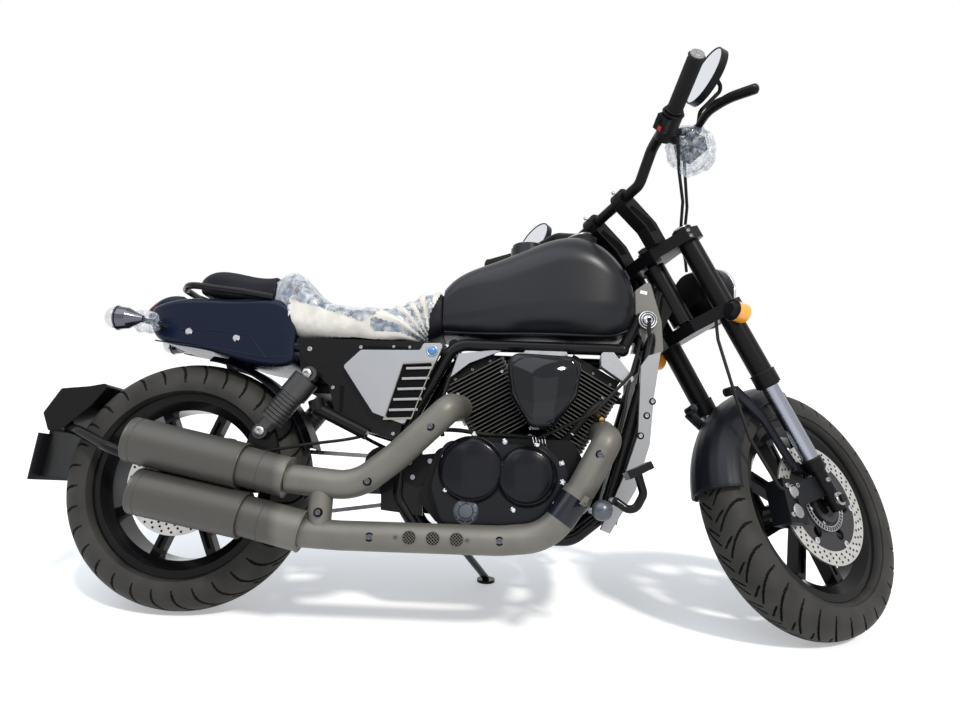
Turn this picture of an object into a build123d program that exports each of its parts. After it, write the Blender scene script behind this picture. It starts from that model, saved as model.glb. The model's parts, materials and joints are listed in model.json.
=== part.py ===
from build123d import *
import os
from math import atan2, cos, degrees, hypot, pi, radians, sin, sqrt

# A cruiser motorcycle with a V-twin engine, in millimetres and degrees.
# The pieces are drawn on an upright bike: +X forward, +Y left, +Z up, with the ground under the rear
# axle as origin and the steering straight.  At the end the steering is turned to its left stop, the
# whole bike leans on its side stand and the origin moves to the middle of its box on the floor.

# ------------------------------------------------------------------ driving sizes
WHEELBASE = 1559
RAKE = 27.7                     # steering axis from the vertical
TRAIL = 120                     # steering axis meets the ground this far ahead of the front axle
LEAN = 11.4                     # how far the bike leans on its stand
STEER_STOP = 34.8               # turn of the steering from straight to either stop

TYRE_RADIUS = 312
FRONT_TYRE_WIDTH = 120
REAR_TYRE_WIDTH = 160
RIM_RADIUS = 228                # outside of the rim flange
BEAD_RADIUS = 216
RIM_WALL = 6
FRONT_RIM_WIDTH = 84
REAR_RIM_WIDTH = 118
SPOKES = 8
SPOKE_WIDTH = 26
HUB_RADIUS = 34
AXLE_RADIUS = 10
AXLE_CLEARANCE = 0.05
FRONT_DISC_RADIUS = 149
REAR_DISC_RADIUS = 125
DISC_THICKNESS = 5
FRONT_DISC_OFFSET = 68          # disc's mid-plane to the right of the wheel's
REAR_DISC_OFFSET = 86
SPROCKET_RADIUS = 100
SPROCKET_OFFSET = 92
SPROCKET_THICKNESS = 7
MOVING_GAP = 6                  # kept between pieces that move past each other
SEAT_GAP = 0.3                  # between soft or curved pieces that lie on each other

FORK_SPREAD = 105               # leg centre from the middle
FORK_TUBE_RADIUS = 27
SLIDER_RADIUS = 20.5
FOOT_RADIUS = 18
TOP_CLAMP_HEIGHT = 1060         # these four are distances up the steering axis from the ground
LOWER_CLAMP_HEIGHT = 845
TUBE_END_HEIGHT = 645
SLIDER_END_HEIGHT = 440
CLAMP_THICKNESS = 32
HEAD_TUBE_RADIUS = 30
STEM_RADIUS = 14

FRAME_TUBE_RADIUS = 15
CRANK_X, CRANK_Z = 868, 362
V_HALF_ANGLE = 30
ENGINE_HALF_WIDTH = 128
CYLINDER_DEPTH = 168            # fore and aft, across one cylinder's fins
CYLINDER_WIDTH = 186            # from side to side
FIN_PITCH = 9.6
FINS = 19
BARREL_FINS = 9                # of these, counted from the crankcase
FIN_THICKNESS = 4
PIPE_RADIUS = 33
MUFFLER_RADIUS = 53
MUFFLER_NECK_RADIUS = 46
MUFFLER_WALL = 3
EXHAUST_OUT = 212               # exhaust centre line to the right of the middle

STAND_X = 700                   # side stand's pivot
STAND_PIVOT_Y = 128
STAND_PIVOT_Z = 172
STAND_FOOT_Y = 330              # foot to the left of the tyres' line, along the floor
STAND_FOOT_AHEAD = 62
STAND_TUBE_RADIUS = 10
STAND_EYE_RADIUS = 18
STAND_EYE_HALF = 12
STAND_PIN_RADIUS = 8
STAND_FOOT_RADIUS = 26
STAND_FOOT_THICKNESS = 8
STAND_FOLDED = (-0.985, 0.10, 0.06)     # the way its leg points when folded up

# ------------------------------------------------------------------ frames of reference
FRONT_AXLE = Vector(WHEELBASE, 0, TYRE_RADIUS)
REAR_AXLE = Vector(0, 0, TYRE_RADIUS)
STEER_FOOT = Vector(WHEELBASE + TRAIL, 0, 0)
STEER_UP = Vector(-sin(radians(RAKE)), 0, cos(radians(RAKE)))
STEER_AHEAD = Vector(cos(radians(RAKE)), 0, sin(radians(RAKE)))
FORK_AHEAD = (FRONT_AXLE - STEER_FOOT).dot(STEER_AHEAD)
AXLE_HEIGHT = (FRONT_AXLE - STEER_FOOT).dot(STEER_UP)
SIDES = (("right", -1), ("left", 1))


def on_fork(height, out, ahead=None):
    """A point up the steering axis by height, out to the left and ahead of the axis."""
    ahead = FORK_AHEAD if ahead is None else ahead
    return STEER_FOOT + STEER_UP * height + STEER_AHEAD * ahead + Vector(0, out, 0)


# ------------------------------------------------------------------ shapes used by many pieces
def rod(start, end, radius, end_radius=None):
    """A round bar, or a cone where end_radius is given."""
    start, end = Vector(start), Vector(end)
    length = (end - start).length
    place = Plane(origin=start, z_dir=end - start)
    align = (Align.CENTER, Align.CENTER, Align.MIN)
    if end_radius is None:
        return place * Cylinder(radius, length, align=align)
    return place * Cone(radius, end_radius, length, align=align)


def tube(points, radius, bend):
    """A round bar through points, bent at each corner with the given radius or list of radii."""
    path = FilletPolyline(*[Vector(p) for p in points], radius=bend)
    return sweep(Plane(origin=path @ 0, z_dir=path % 0) * Circle(radius), path=path)


def beam(start, end, width, height):
    """A rectangular bar: width across the bike, height in the side view."""
    start, end = Vector(start), Vector(end)
    place = Plane(origin=start, x_dir=(0, 1, 0), z_dir=end - start)
    return place * Box(width, height, (end - start).length, align=(Align.CENTER, Align.CENTER, Align.MIN))


def slab(points, y_from, y_to, corner=0):
    """A side-view outline of (x, z) points, as thick as the space from y_from to y_to."""
    corners = [Vector(x, y_from, z) for x, z in points]
    if corner:
        outline = FilletPolyline(*corners, radius=corner, close=True)
    else:
        outline = Polyline(*corners, close=True)
    return extrude(make_face(outline), amount=y_to - y_from, dir=(0, 1, 0))


def turned(profile, centre):
    """A ring about a lateral axis, from a profile of (y, radius) points."""
    corners = [Vector(centre.X, centre.Y + y, centre.Z + r) for y, r in profile]
    return revolve(make_face(Polyline(*corners, close=True)), axis=Axis(centre, (0, 1, 0)))


def disc(centre, radius, y_from, y_to):
    """A round plate facing sideways, at a side-view centre (x, z)."""
    x, z = centre
    return rod((x, min(y_from, y_to), z), (x, max(y_from, y_to), z), radius)


def skin(stations):
    """A body lofted along X from stations of (x, z low, z high, half width, corner radius)."""
    sections = []
    for x, low, high, half, corner in stations:
        place = Plane(origin=(x, 0, (low + high) / 2), x_dir=(0, 1, 0), z_dir=(1, 0, 0))
        radius = min(corner, 0.48 * (high - low), 0.96 * half)
        sections.append(place * RectangleRounded(2 * half, high - low, radius))
    return loft(sections)


def mirrored(shape):
    """The shape's twin on the other side of the bike."""
    return mirror(shape, about=Plane.XZ)


def both(shape):
    return [shape, mirrored(shape)]


def fused(*shapes):
    first, rest = shapes[0], shapes[1:]
    return first.fuse(*rest) if rest else first


# ------------------------------------------------------------------ wheels
def tyre_profile(width, rim_width):
    """(y, radius) corners of a tyre's section: a round crown, two bulging walls and the bead."""
    crown_steps = 8
    crown_half = 0.47 * width
    crown_drop = 0.30 * (TYRE_RADIUS - BEAD_RADIUS) * width / FRONT_TYRE_WIDTH
    corners = []
    for step in range(crown_steps + 1):
        across = -1 + 2 * step / crown_steps
        drop = crown_drop * (1 - sqrt(1 - (0.97 * across) ** 2)) / (1 - sqrt(1 - 0.97 ** 2))
        corners.append((crown_half * across, TYRE_RADIUS - drop))
    bead_half = rim_width / 2 - RIM_WALL
    wall_radius = (TYRE_RADIUS + 2 * BEAD_RADIUS) / 3
    right = [(-bead_half, BEAD_RADIUS), (-bead_half, RIM_RADIUS), (-width / 2, wall_radius + 22)]
    left = [(-y, r) for y, r in reversed(right)]
    return right + corners + left


def tyre(centre, width, rim_width):
    return turned(tyre_profile(width, rim_width), centre)


def rim(centre, rim_width, hub_half, spoke_turn):
    """A cast wheel: channel, hub with its axle hole, and paired-rib spokes."""
    half = rim_width / 2
    seat = BEAD_RADIUS - SEAT_GAP
    well = seat - 22
    channel = turned([(-half, RIM_RADIUS), (-half, seat - RIM_WALL), (-half + 20, well - RIM_WALL),
                      (half - 20, well - RIM_WALL), (half, seat - RIM_WALL), (half, RIM_RADIUS),
                      (half - RIM_WALL, RIM_RADIUS), (half - RIM_WALL, seat), (half - 20, seat), (half - 26, well),
                      (-half + 26, well), (-half + 20, seat), (-half + RIM_WALL, seat),
                      (-half + RIM_WALL, RIM_RADIUS)], centre)
    hub = rod(centre - Vector(0, hub_half, 0), centre + Vector(0, hub_half, 0), HUB_RADIUS)
    spokes = []
    for number in range(SPOKES):
        angle = radians(spoke_turn + number * 360 / SPOKES)
        out = Vector(sin(angle), 0, -cos(angle))
        place = Plane(origin=centre + out * (HUB_RADIUS - 6), x_dir=(0, 1, 0), z_dir=out)
        length = well - HUB_RADIUS + 4
        web = Box(34, SPOKE_WIDTH, length, align=(Align.CENTER, Align.CENTER, Align.MIN))
        groove = Box(34, SPOKE_WIDTH / 3, length - 40, align=(Align.CENTER, Align.CENTER, Align.MIN))
        web -= Pos(-23, 0, 20) * groove
        web -= Pos(23, 0, 20) * groove
        spokes.append(place * web)
    wheel = fused(channel, hub, *spokes)
    hole = rod(centre - Vector(0, hub_half + 1, 0), centre + Vector(0, hub_half + 1, 0),
               AXLE_RADIUS + AXLE_CLEARANCE)
    return wheel - hole


def brake_disc(centre, radius, offset, hub_half):
    """A drilled rotor with its carrier, bolted on the right of the hub."""
    y = -offset
    ring = disc((centre.X, centre.Z), radius, y - DISC_THICKNESS / 2, y + DISC_THICKNESS / 2)
    ring -= disc((centre.X, centre.Z), radius - 34, y - DISC_THICKNESS, y + DISC_THICKNESS)
    carrier = disc((centre.X, centre.Z), radius - 33, y - 2, y + 4)
    boss = disc((centre.X, centre.Z), HUB_RADIUS + 14, -hub_half, y + 4)
    windows = []
    for number in range(6):
        angle = radians(number * 60)
        middle = (radius - 33 + HUB_RADIUS + 14) / 2
        place = (centre.X + middle * cos(angle), centre.Z + middle * sin(angle))
        windows.append(disc(place, 14, y - 6, y + 6))
    inner = disc((centre.X, centre.Z), HUB_RADIUS + SEAT_GAP, -offset - 20, offset)
    return fused(ring, carrier, boss) - inner - windows


FRONT_HUB_HALF = FORK_SPREAD - FOOT_RADIUS - MOVING_GAP
REAR_HUB_HALF = 100
front_tyre = tyre(FRONT_AXLE, FRONT_TYRE_WIDTH, FRONT_RIM_WIDTH)
front_rim = rim(FRONT_AXLE, FRONT_RIM_WIDTH, FRONT_HUB_HALF, -21)
front_disc = brake_disc(FRONT_AXLE, FRONT_DISC_RADIUS, FRONT_DISC_OFFSET, FRONT_HUB_HALF)
rear_tyre = tyre(REAR_AXLE, REAR_TYRE_WIDTH, REAR_RIM_WIDTH)
rear_rim = rim(REAR_AXLE, REAR_RIM_WIDTH, REAR_HUB_HALF, -21)
rear_disc = brake_disc(REAR_AXLE, REAR_DISC_RADIUS, REAR_DISC_OFFSET, REAR_HUB_HALF)
sprocket_y = (SPROCKET_OFFSET - SPROCKET_THICKNESS / 2, SPROCKET_OFFSET + SPROCKET_THICKNESS / 2)
rear_sprocket = disc((0, TYRE_RADIUS), SPROCKET_RADIUS, *sprocket_y)
rear_sprocket -= disc((0, TYRE_RADIUS), HUB_RADIUS + SEAT_GAP, 0, REAR_HUB_HALF + 5)

# ------------------------------------------------------------------ resting pose
FRONT_PROFILE = tyre_profile(FRONT_TYRE_WIDTH, FRONT_RIM_WIDTH)
REAR_PROFILE = tyre_profile(REAR_TYRE_WIDTH, REAR_RIM_WIDTH)
STEER_AXIS = Axis(STEER_FOOT, STEER_UP)


def turned_point(point, angle):
    return Vertex(*point).rotate(STEER_AXIS, angle).center()


def lowest(profile, centre, axle):
    """Height of the lowest point of a tyre whose axle points along a unit vector."""
    return min(centre.Z + y * axle.Z - r * sqrt(1 - axle.Z ** 2) for y, r in profile)


def settled():
    """The lean, pitch and lift that set both tyres on the floor with the steering on its stop."""
    front = turned_point(FRONT_AXLE, STEER_STOP)
    front_out = turned_point(FRONT_AXLE + Vector(0, 1, 0), STEER_STOP)
    pitch = 0.0
    for step in range(8):
        place = Location((0, 0, 0), (0, pitch, 0)) * Location((0, 0, 0), (-LEAN, 0, 0))
        origin, left, rear, front_now, front_left = [
            (place * Location(v)).position
            for v in (Vector(0, 0, 0), Vector(0, 1, 0), REAR_AXLE, front, front_out)]
        rear_low = lowest(REAR_PROFILE, rear, left - origin)
        front_low = lowest(FRONT_PROFILE, front_now, front_left - front_now)
        pitch += degrees((front_low - rear_low) / WHEELBASE)
    return Location((0, 0, -rear_low)) * place


LEANED = settled()


def leaned_point(point):
    return (LEANED * Location(Vector(point))).position


# side stand: from its pivot under the frame down to a pad flat on the floor
floored = LEANED.inverse()
stand_pivot = Vector(STAND_X, STAND_PIVOT_Y, STAND_PIVOT_Z)
pad_place = Vector(leaned_point(stand_pivot).X + STAND_FOOT_AHEAD, STAND_FOOT_Y, 0)
pad = floored * rod(pad_place, pad_place + Vector(0, 0, STAND_FOOT_THICKNESS), STAND_FOOT_RADIUS)
ankle = (floored * Location(pad_place + Vector(0, 0, STAND_FOOT_THICKNESS + 2))).position
stand_out = (ankle - stand_pivot).normalized()
stand_axis = stand_out.cross(Vector(*STAND_FOLDED)).normalized()
stand_leg = rod(stand_pivot, ankle, STAND_TUBE_RADIUS)
stand_eye = rod(stand_pivot - stand_axis * STAND_EYE_HALF, stand_pivot + stand_axis * STAND_EYE_HALF, STAND_EYE_RADIUS)
stand_top = stand_pivot + stand_axis * (STAND_EYE_HALF + SEAT_GAP)
stand_hole = rod(stand_pivot - stand_axis * 2 * STAND_EYE_HALF, stand_pivot + stand_axis * 2 * STAND_EYE_HALF,
                 STAND_PIN_RADIUS + AXLE_CLEARANCE)
side_stand = fused(stand_leg, stand_eye, pad) - stand_hole
stand_pin = rod(stand_pivot - stand_axis * (STAND_EYE_HALF + 3), stand_top, STAND_PIN_RADIUS)
stand_lug = rod(stand_top, stand_top + stand_axis * 12, STAND_EYE_RADIUS)

# ------------------------------------------------------------------ fork and steering
def clamp_plate(height, ahead_back, ahead_front):
    """One fork clamp: a plate square to the steering axis that holds both legs."""
    place = Plane(origin=on_fork(height, 0, 0), x_dir=STEER_AHEAD, z_dir=STEER_UP)
    ear = FORK_SPREAD + FORK_TUBE_RADIUS + 9
    outline = [(-ahead_back, -48), (-ahead_back, 48), (FORK_AHEAD - 30, ear), (ahead_front, ear),
               (ahead_front, -ear), (FORK_AHEAD - 30, -ear)]
    face = make_face(FilletPolyline(*[(x, y) for x, y in outline], radius=16, close=True))
    return place * extrude(face, amount=CLAMP_THICKNESS)


legs = {}
for side, sign in SIDES:
    out = sign * FORK_SPREAD
    outer = rod(on_fork(TUBE_END_HEIGHT, out), on_fork(TOP_CLAMP_HEIGHT + 42, out), FORK_TUBE_RADIUS)
    collar = rod(on_fork(TUBE_END_HEIGHT, out), on_fork(TUBE_END_HEIGHT + 34, out), FORK_TUBE_RADIUS + 4)
    legs[side] = fused(outer, collar)
clamps = [clamp_plate(TOP_CLAMP_HEIGHT, 44, 70), clamp_plate(LOWER_CLAMP_HEIGHT, 40, 74)]
stem = rod(on_fork(LOWER_CLAMP_HEIGHT, 0, 0), on_fork(TOP_CLAMP_HEIGHT + CLAMP_THICKNESS + 8, 0, 0), STEM_RADIUS)
fork = fused(*clamps, stem, *legs.values())
fork_sliders = [rod(on_fork(SLIDER_END_HEIGHT, sign * FORK_SPREAD), on_fork(TUBE_END_HEIGHT, sign * FORK_SPREAD),
                    SLIDER_RADIUS) for side, sign in SIDES]

front_axle = rod(FRONT_AXLE - Vector(0, FORK_SPREAD + 26, 0), FRONT_AXLE + Vector(0, FORK_SPREAD + 26, 0), AXLE_RADIUS)
feet = []
for side, sign in SIDES:
    out = sign * FORK_SPREAD
    leg = rod(on_fork(AXLE_HEIGHT - 24, out), on_fork(SLIDER_END_HEIGHT, out), FOOT_RADIUS)
    neck = rod(on_fork(SLIDER_END_HEIGHT - 26, out), on_fork(SLIDER_END_HEIGHT, out), SLIDER_RADIUS + 3)
    feet += [leg, neck]
fork_feet = fused(front_axle, *feet)

# headlight: a bucket with a domed lens, held between the clamps
HEADLIGHT_HEIGHT = 965
HEADLIGHT_RADIUS = 84
HEADLIGHT_BACK = 78
HEADLIGHT_FRONT = 172
lamp_axis = Plane(origin=on_fork(HEADLIGHT_HEIGHT, 0, HEADLIGHT_BACK), x_dir=(0, 1, 0), z_dir=(1, 0, 0))
bucket_length = HEADLIGHT_FRONT - HEADLIGHT_BACK
min_align = (Align.CENTER, Align.CENTER, Align.MIN)
bucket = lamp_axis * Cone(52, HEADLIGHT_RADIUS, bucket_length * 0.6, align=min_align)
bucket += lamp_axis * Pos(0, 0, bucket_length * 0.6) * Cylinder(HEADLIGHT_RADIUS, bucket_length * 0.4, align=min_align)
lamp_arms = [beam(on_fork(HEADLIGHT_HEIGHT, sign * FORK_SPREAD, FORK_AHEAD + 10),
                  on_fork(HEADLIGHT_HEIGHT, sign * (HEADLIGHT_RADIUS - 14), HEADLIGHT_BACK + 44), 12, 46)
             for side, sign in SIDES]
headlight = fused(bucket, *lamp_arms) - fork
lens_sag = 20
lens_ball = (HEADLIGHT_RADIUS ** 2 + lens_sag ** 2) / (2 * lens_sag)
lens = lamp_axis * Pos(0, 0, bucket_length + lens_sag - lens_ball) * Sphere(lens_ball)
headlight_lens = lens & (lamp_axis * Pos(0, 0, bucket_length) * Cylinder(HEADLIGHT_RADIUS, 60, align=min_align))

# risers: two curved arms from the top clamp to the bar
RISER_SPREAD = 60
BAR_HEIGHT = 1238
BAR_BACK = -60
BAR_RADIUS = 14
riser_foot = (TOP_CLAMP_HEIGHT + CLAMP_THICKNESS, -26)
riser_line = [(riser_foot[0], riser_foot[1]), (riser_foot[0] + 52, riser_foot[1] + 4), (BAR_HEIGHT, BAR_BACK)]


def riser(sign):
    y = sign * RISER_SPREAD
    # (height, ahead) corners of the arm's side, and its round clamp
    arm = [(riser_line[0][0], -46), (riser_line[1][0], -48), (BAR_HEIGHT - 14, BAR_BACK - 24),
           (BAR_HEIGHT + 18, BAR_BACK + 16), (riser_line[1][0] + 6, 0), (riser_line[0][0], 0)]
    points = [on_fork(h, 0, a) for h, a in arm]
    body = slab([(p.X, p.Z) for p in points], y - 17, y + 17)
    middle = on_fork(BAR_HEIGHT, 0, BAR_BACK)
    return body + disc((middle.X, middle.Z), BAR_RADIUS + 11, y - 17, y + 17)


bar_half = [(BAR_HEIGHT, 128, BAR_BACK), (1290, 205, -52), (1303, 319, -90), (1350, 447, -118)]
BAR_BEND = 45
BAR_MIDDLE = 50                # the plain straight middle reaches this far out on each side
bar_ends = [on_fork(BAR_HEIGHT, sign * BAR_MIDDLE, BAR_BACK) for side, sign in SIDES]
bar_sides = [tube([start] + [on_fork(h, sign * y, a) for h, y, a in bar_half], BAR_RADIUS, BAR_BEND)
             for start, (side, sign) in zip(bar_ends, SIDES)]
handlebar = fused(rod(bar_ends[0], bar_ends[1], BAR_RADIUS), *bar_sides)
risers = [riser(sign) - handlebar for side, sign in SIDES]

GRIP_RADIUS = 18
GRIP_LENGTH = 136
grip_inner, grip_end = [on_fork(*point) for point in bar_half[-2:]]
grip_line = (grip_end - grip_inner).normalized()
grip_left = rod(grip_end + grip_line * 6 - grip_line * GRIP_LENGTH, grip_end + grip_line * 6, GRIP_RADIUS)
grip_left -= handlebar
grips = both(grip_left)

# hand controls: switch box, perch and lever for one side, and its twin
LEVER_RADIUS = 8
LEVER_LINE = [(1276, 290, 20), (1290, 370, 0), (1245, 470, -10)]    # (height, out, ahead)
RESERVOIR = (1246, 262, 6)
switch_start = grip_end + grip_line * 6 - grip_line * (GRIP_LENGTH + 1)
switch_box = rod(switch_start - grip_line * 52, switch_start, 25)
lever_points = [on_fork(*point) for point in LEVER_LINE]
perch_start = switch_start - grip_line * 62
perch = rod(perch_start - grip_line * 12, perch_start + grip_line * 12, 21)
perch += rod(perch_start, lever_points[0], 10)
perch += Pos(*lever_points[0]) * Sphere(13)
lever = tube(lever_points, LEVER_RADIUS, 70) + Pos(*lever_points[-1]) * Sphere(LEVER_RADIUS + 2)
reservoir_place = Plane(origin=on_fork(*RESERVOIR), x_dir=(0, 1, 0), z_dir=(0, 0, 1))
reservoir = reservoir_place * Box(60, 46, 40) + rod(on_fork(*RESERVOIR), perch_start, 12)
controls_left = fused(switch_box, perch, lever)
controls_right = mirrored(fused(switch_box, perch, lever, reservoir))
hand_controls = [controls_left - handlebar - grip_left, controls_right - handlebar - grips[1]]

# mirrors: a round head on a hooked stem from each lever's perch
MIRROR_RADIUS = 70
MIRROR_DEPTH = 16
MIRROR_HEAD = (1066, 372, 1223)
MIRROR_FACE = (-0.949, -0.143, 0.283)
mirror_head = Vector(*MIRROR_HEAD)
mirror_back = mirror_head - Vector(*MIRROR_FACE) * (MIRROR_DEPTH - 2)
mirror_stem = tube([on_fork(1276, 290, 26), on_fork(1310, 316, 32), mirror_back + Vector(58, -10, 6),
                    mirror_back + Vector(30, -2, 20), mirror_back], 5, [20, 16, 14])
mirror_disc = Plane(origin=mirror_head, z_dir=-Vector(*MIRROR_FACE)) * Cylinder(MIRROR_RADIUS, MIRROR_DEPTH,
                                                                                align=min_align)
mirror_left = fused(mirror_stem, mirror_disc)
mirrors = [shape - control for shape, control in zip(both(mirror_left), hand_controls)]

# front indicators on short stalks from the lower clamp
IND_OUT = 150
IND_HEIGHT = 842
IND_AHEAD = 4
front_indicators = []
for side, sign in SIDES:
    tip = on_fork(IND_HEIGHT, sign * IND_OUT, IND_AHEAD)
    stalk = rod(on_fork(IND_HEIGHT + 8, sign * (FORK_SPREAD + FORK_TUBE_RADIUS - 4)), tip, 8)
    front_indicators.append((stalk + rod(tip - Vector(16, 0, 0), tip + Vector(24, 0, 0), 25)) - fork)

# front fender: a curved shell over the tyre's rear upper quarter, and its stays
FENDER_GAP = 12
FENDER_DROP = 52
FENDER_WALL = 4
FENDER_HALF = 74
FENDER_FROM, FENDER_TO = 98, 178


def arch(half, top, drop, wall, steps=10):
    """(y, radius) corners of a thin half-elliptic arch, half wide on each side and drop deep."""
    outer = [(-half * cos(pi * k / steps), top - drop * (1 - sin(pi * k / steps))) for k in range(steps + 1)]
    inner = [(y * (half - wall) / half, r - wall) for y, r in outer]
    return outer + inner[::-1]


fender_outer = TYRE_RADIUS + FENDER_GAP + FENDER_WALL
fender_ring = turned(arch(FENDER_HALF, fender_outer, FENDER_DROP, FENDER_WALL), FRONT_AXLE)
fender_cut = [(WHEELBASE, TYRE_RADIUS)]
for step in range(5):
    angle = radians(FENDER_FROM + step * (FENDER_TO - FENDER_FROM) / 4)
    fender_cut.append((WHEELBASE + 480 * cos(angle), TYRE_RADIUS + 480 * sin(angle)))
fender_shell = fender_ring & slab(fender_cut, -FENDER_HALF - 1, FENDER_HALF + 1)
FENDER_STAY = [(1312, 566), (1392, 510), (1470, 392)]
STAY_HALF = 4
STAY_OUT = FRONT_DISC_OFFSET + DISC_THICKNESS / 2 + MOVING_GAP + STAY_HALF
stays = []
for side, sign in SIDES:
    line = [Vector(x, sign * STAY_OUT, z) for x, z in FENDER_STAY]
    stays.append(beam(line[0], line[1], 2 * STAY_HALF, 30))
    stays.append(beam(line[1], line[2], 2 * STAY_HALF, 24))
    stays.append(disc(FENDER_STAY[1], 15, sign * (STAY_OUT - STAY_HALF), sign * (STAY_OUT + STAY_HALF)))
    foot = on_fork(AXLE_HEIGHT + 84, sign * (FORK_SPREAD - 4))
    stays.append(beam(line[2], Vector(foot.X, line[2].Y, foot.Z), 2 * STAY_HALF, 24))
    stays.append(rod((foot.X, line[2].Y - sign * STAY_HALF, foot.Z), foot, 11))
    stays.append(rod(line[0] - Vector(0, sign * 28, -4), line[0], 11))
front_fender = fused(fender_shell, *stays) - fork - fork_feet - fork_sliders

# front caliper on the right leg, over the disc's rear edge
caliper_angle = radians(186)
caliper_middle = FRONT_AXLE + Vector(cos(caliper_angle), 0, sin(caliper_angle)) * (FRONT_DISC_RADIUS - 12)
front_y = -FRONT_DISC_OFFSET
caliper_out = 96
caliper_body = Pos(caliper_middle.X, front_y - 4, caliper_middle.Z) * Box(62, 52, 104)
caliper_slot = disc((FRONT_AXLE.X, FRONT_AXLE.Z), FRONT_DISC_RADIUS + MOVING_GAP, front_y - 9, front_y + 9)
caliper_hub = disc((FRONT_AXLE.X, FRONT_AXLE.Z), FRONT_DISC_RADIUS - 40, front_y - 9, front_y + 60)
caliper_bracket = beam(Vector(caliper_middle.X, -caliper_out, caliper_middle.Z + 10),
                       on_fork(AXLE_HEIGHT + 44, -caliper_out), 12, 52)
front_caliper = (caliper_body - caliper_slot - caliper_hub) + caliper_bracket
front_caliper = front_caliper - fork_feet - front_fender

# ------------------------------------------------------------------ frame
spine_z = 684
head_low = on_fork(LOWER_CLAMP_HEIGHT + CLAMP_THICKNESS + MOVING_GAP, 0, 0)
head_high = on_fork(TOP_CLAMP_HEIGHT - MOVING_GAP, 0, 0)
head_tube = rod(head_low, head_high, HEAD_TUBE_RADIUS)
stem_bore = rod(on_fork(LOWER_CLAMP_HEIGHT, 0, 0), on_fork(TOP_CLAMP_HEIGHT, 0, 0), STEM_RADIUS + AXLE_CLEARANCE)
neck_plate = slab([(1130, 700), (1180, 700), (1250, 845), (1240, 885), (1150, 770)], -22, 22)
FRAME_HALF = 96
CRADLE_Z = 218
RAIL_FRONT_X = 1090
DOWN_TOP_X, DOWN_TOP_Z = 1136, 590
NECK_LOW = on_fork(TOP_CLAMP_HEIGHT - 50, 0, -20)
NECK_MIDDLE = on_fork(TOP_CLAMP_HEIGHT - 63, 0, -10)
PIVOT_X, PIVOT_Z = 545, 330
frame_parts = [head_tube, neck_plate]
for side, sign in SIDES:
    y = sign * FRAME_HALF
    frame_parts.append(tube([(RAIL_FRONT_X, y, spine_z), (668, y, spine_z), (556, y, 460), (PIVOT_X + 4, y, 300),
                             (606, y, CRADLE_Z), (970, y, CRADLE_Z), (1046, y, 280), (DOWN_TOP_X, y, DOWN_TOP_Z)],
                            FRAME_TUBE_RADIUS, [56, 60, 50, 50, 60, 60]))
    for x, z, neck in ((RAIL_FRONT_X, spine_z, NECK_LOW), (DOWN_TOP_X, DOWN_TOP_Z, NECK_MIDDLE)):
        frame_parts.append(Pos(x, y, z) * Sphere(FRAME_TUBE_RADIUS + 1.5))
        frame_parts.append(rod((x, y, z), neck, FRAME_TUBE_RADIUS - 1))
    frame_parts.append(slab([(PIVOT_X - 40, PIVOT_Z + 62), (PIVOT_X + 58, PIVOT_Z + 90),
                             (PIVOT_X + 66, PIVOT_Z - 70), (PIVOT_X - 34, PIVOT_Z - 60)], y - 9, y + 9))
frame_parts.append(rod((668, -FRAME_HALF, spine_z), (668, FRAME_HALF, spine_z), 14))
frame_parts.append(rod((660, -FRAME_HALF, CRADLE_Z), (660, FRAME_HALF, CRADLE_Z), 14))
frame_parts.append(rod((1044, -FRAME_HALF, 282), (1044, FRAME_HALF, 282), 14))
frame_parts += [stand_pin, stand_lug]
frame_parts.append(rod(stand_top + stand_axis * 11, (STAND_X + 4, FRAME_HALF + 6, CRADLE_Z + 4), 9))
frame = fused(*frame_parts) - stem_bore

# rear subframe: two seat rails, the shock mounts and a tail loop
SHOCK_TOP = (322, 588)
SHOCK_LOW = (214, 444)
SHOCK_OUT = 138
subframe_parts = []
for side, sign in SIDES:
    y = sign * FRAME_HALF
    rail = tube([(650, y, 668), (560, y, 662), (300, y, 662), (-60, sign * 60, 700)], 13, 60)
    stay = tube([(572, y, 500), (440, y, 560), (330, y, 650)], 13, 60)
    mount = rod((SHOCK_TOP[0], sign * (FRAME_HALF - 12), SHOCK_TOP[1]),
                (SHOCK_TOP[0], sign * (SHOCK_OUT + 14), SHOCK_TOP[1]), 9)
    plate = slab([(SHOCK_TOP[0] - 30, SHOCK_TOP[1] - 16), (SHOCK_TOP[0] + 30, SHOCK_TOP[1] - 16),
                  (SHOCK_TOP[0] + 46, 664), (SHOCK_TOP[0] - 46, 664)], y - 8, y + 8)
    subframe_parts += [rail, stay, mount, plate]
subframe_parts.append(rod((300, -FRAME_HALF, 662), (300, FRAME_HALF, 662), 12))
subframe_parts.append(rod((-52, -60, 699), (-52, 60, 699), 12))
subframe = fused(*subframe_parts) - frame

# ------------------------------------------------------------------ swingarm and rear axle
ARM_OUT = 122
AXLE_END = ARM_OUT + 26
arm_shapes = []
for side, sign in SIDES:
    arm_shapes.append(beam((-40, sign * ARM_OUT, TYRE_RADIUS), (PIVOT_X - 130, sign * ARM_OUT, PIVOT_Z), 26, 46))
    arm_shapes.append(beam((PIVOT_X - 150, sign * ARM_OUT, PIVOT_Z), (PIVOT_X, sign * 72, PIVOT_Z), 26, 46))
    arm_shapes.append(rod((SHOCK_LOW[0], sign * (ARM_OUT - 10), SHOCK_LOW[1]),
                          (SHOCK_LOW[0], sign * (SHOCK_OUT + 14), SHOCK_LOW[1]), 9))
    arm_shapes.append(slab([(150, TYRE_RADIUS + 10), (280, TYRE_RADIUS + 10), (240, SHOCK_LOW[1] + 16),
                            (190, SHOCK_LOW[1] + 16)], sign * ARM_OUT - 8, sign * ARM_OUT + 8))
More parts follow.
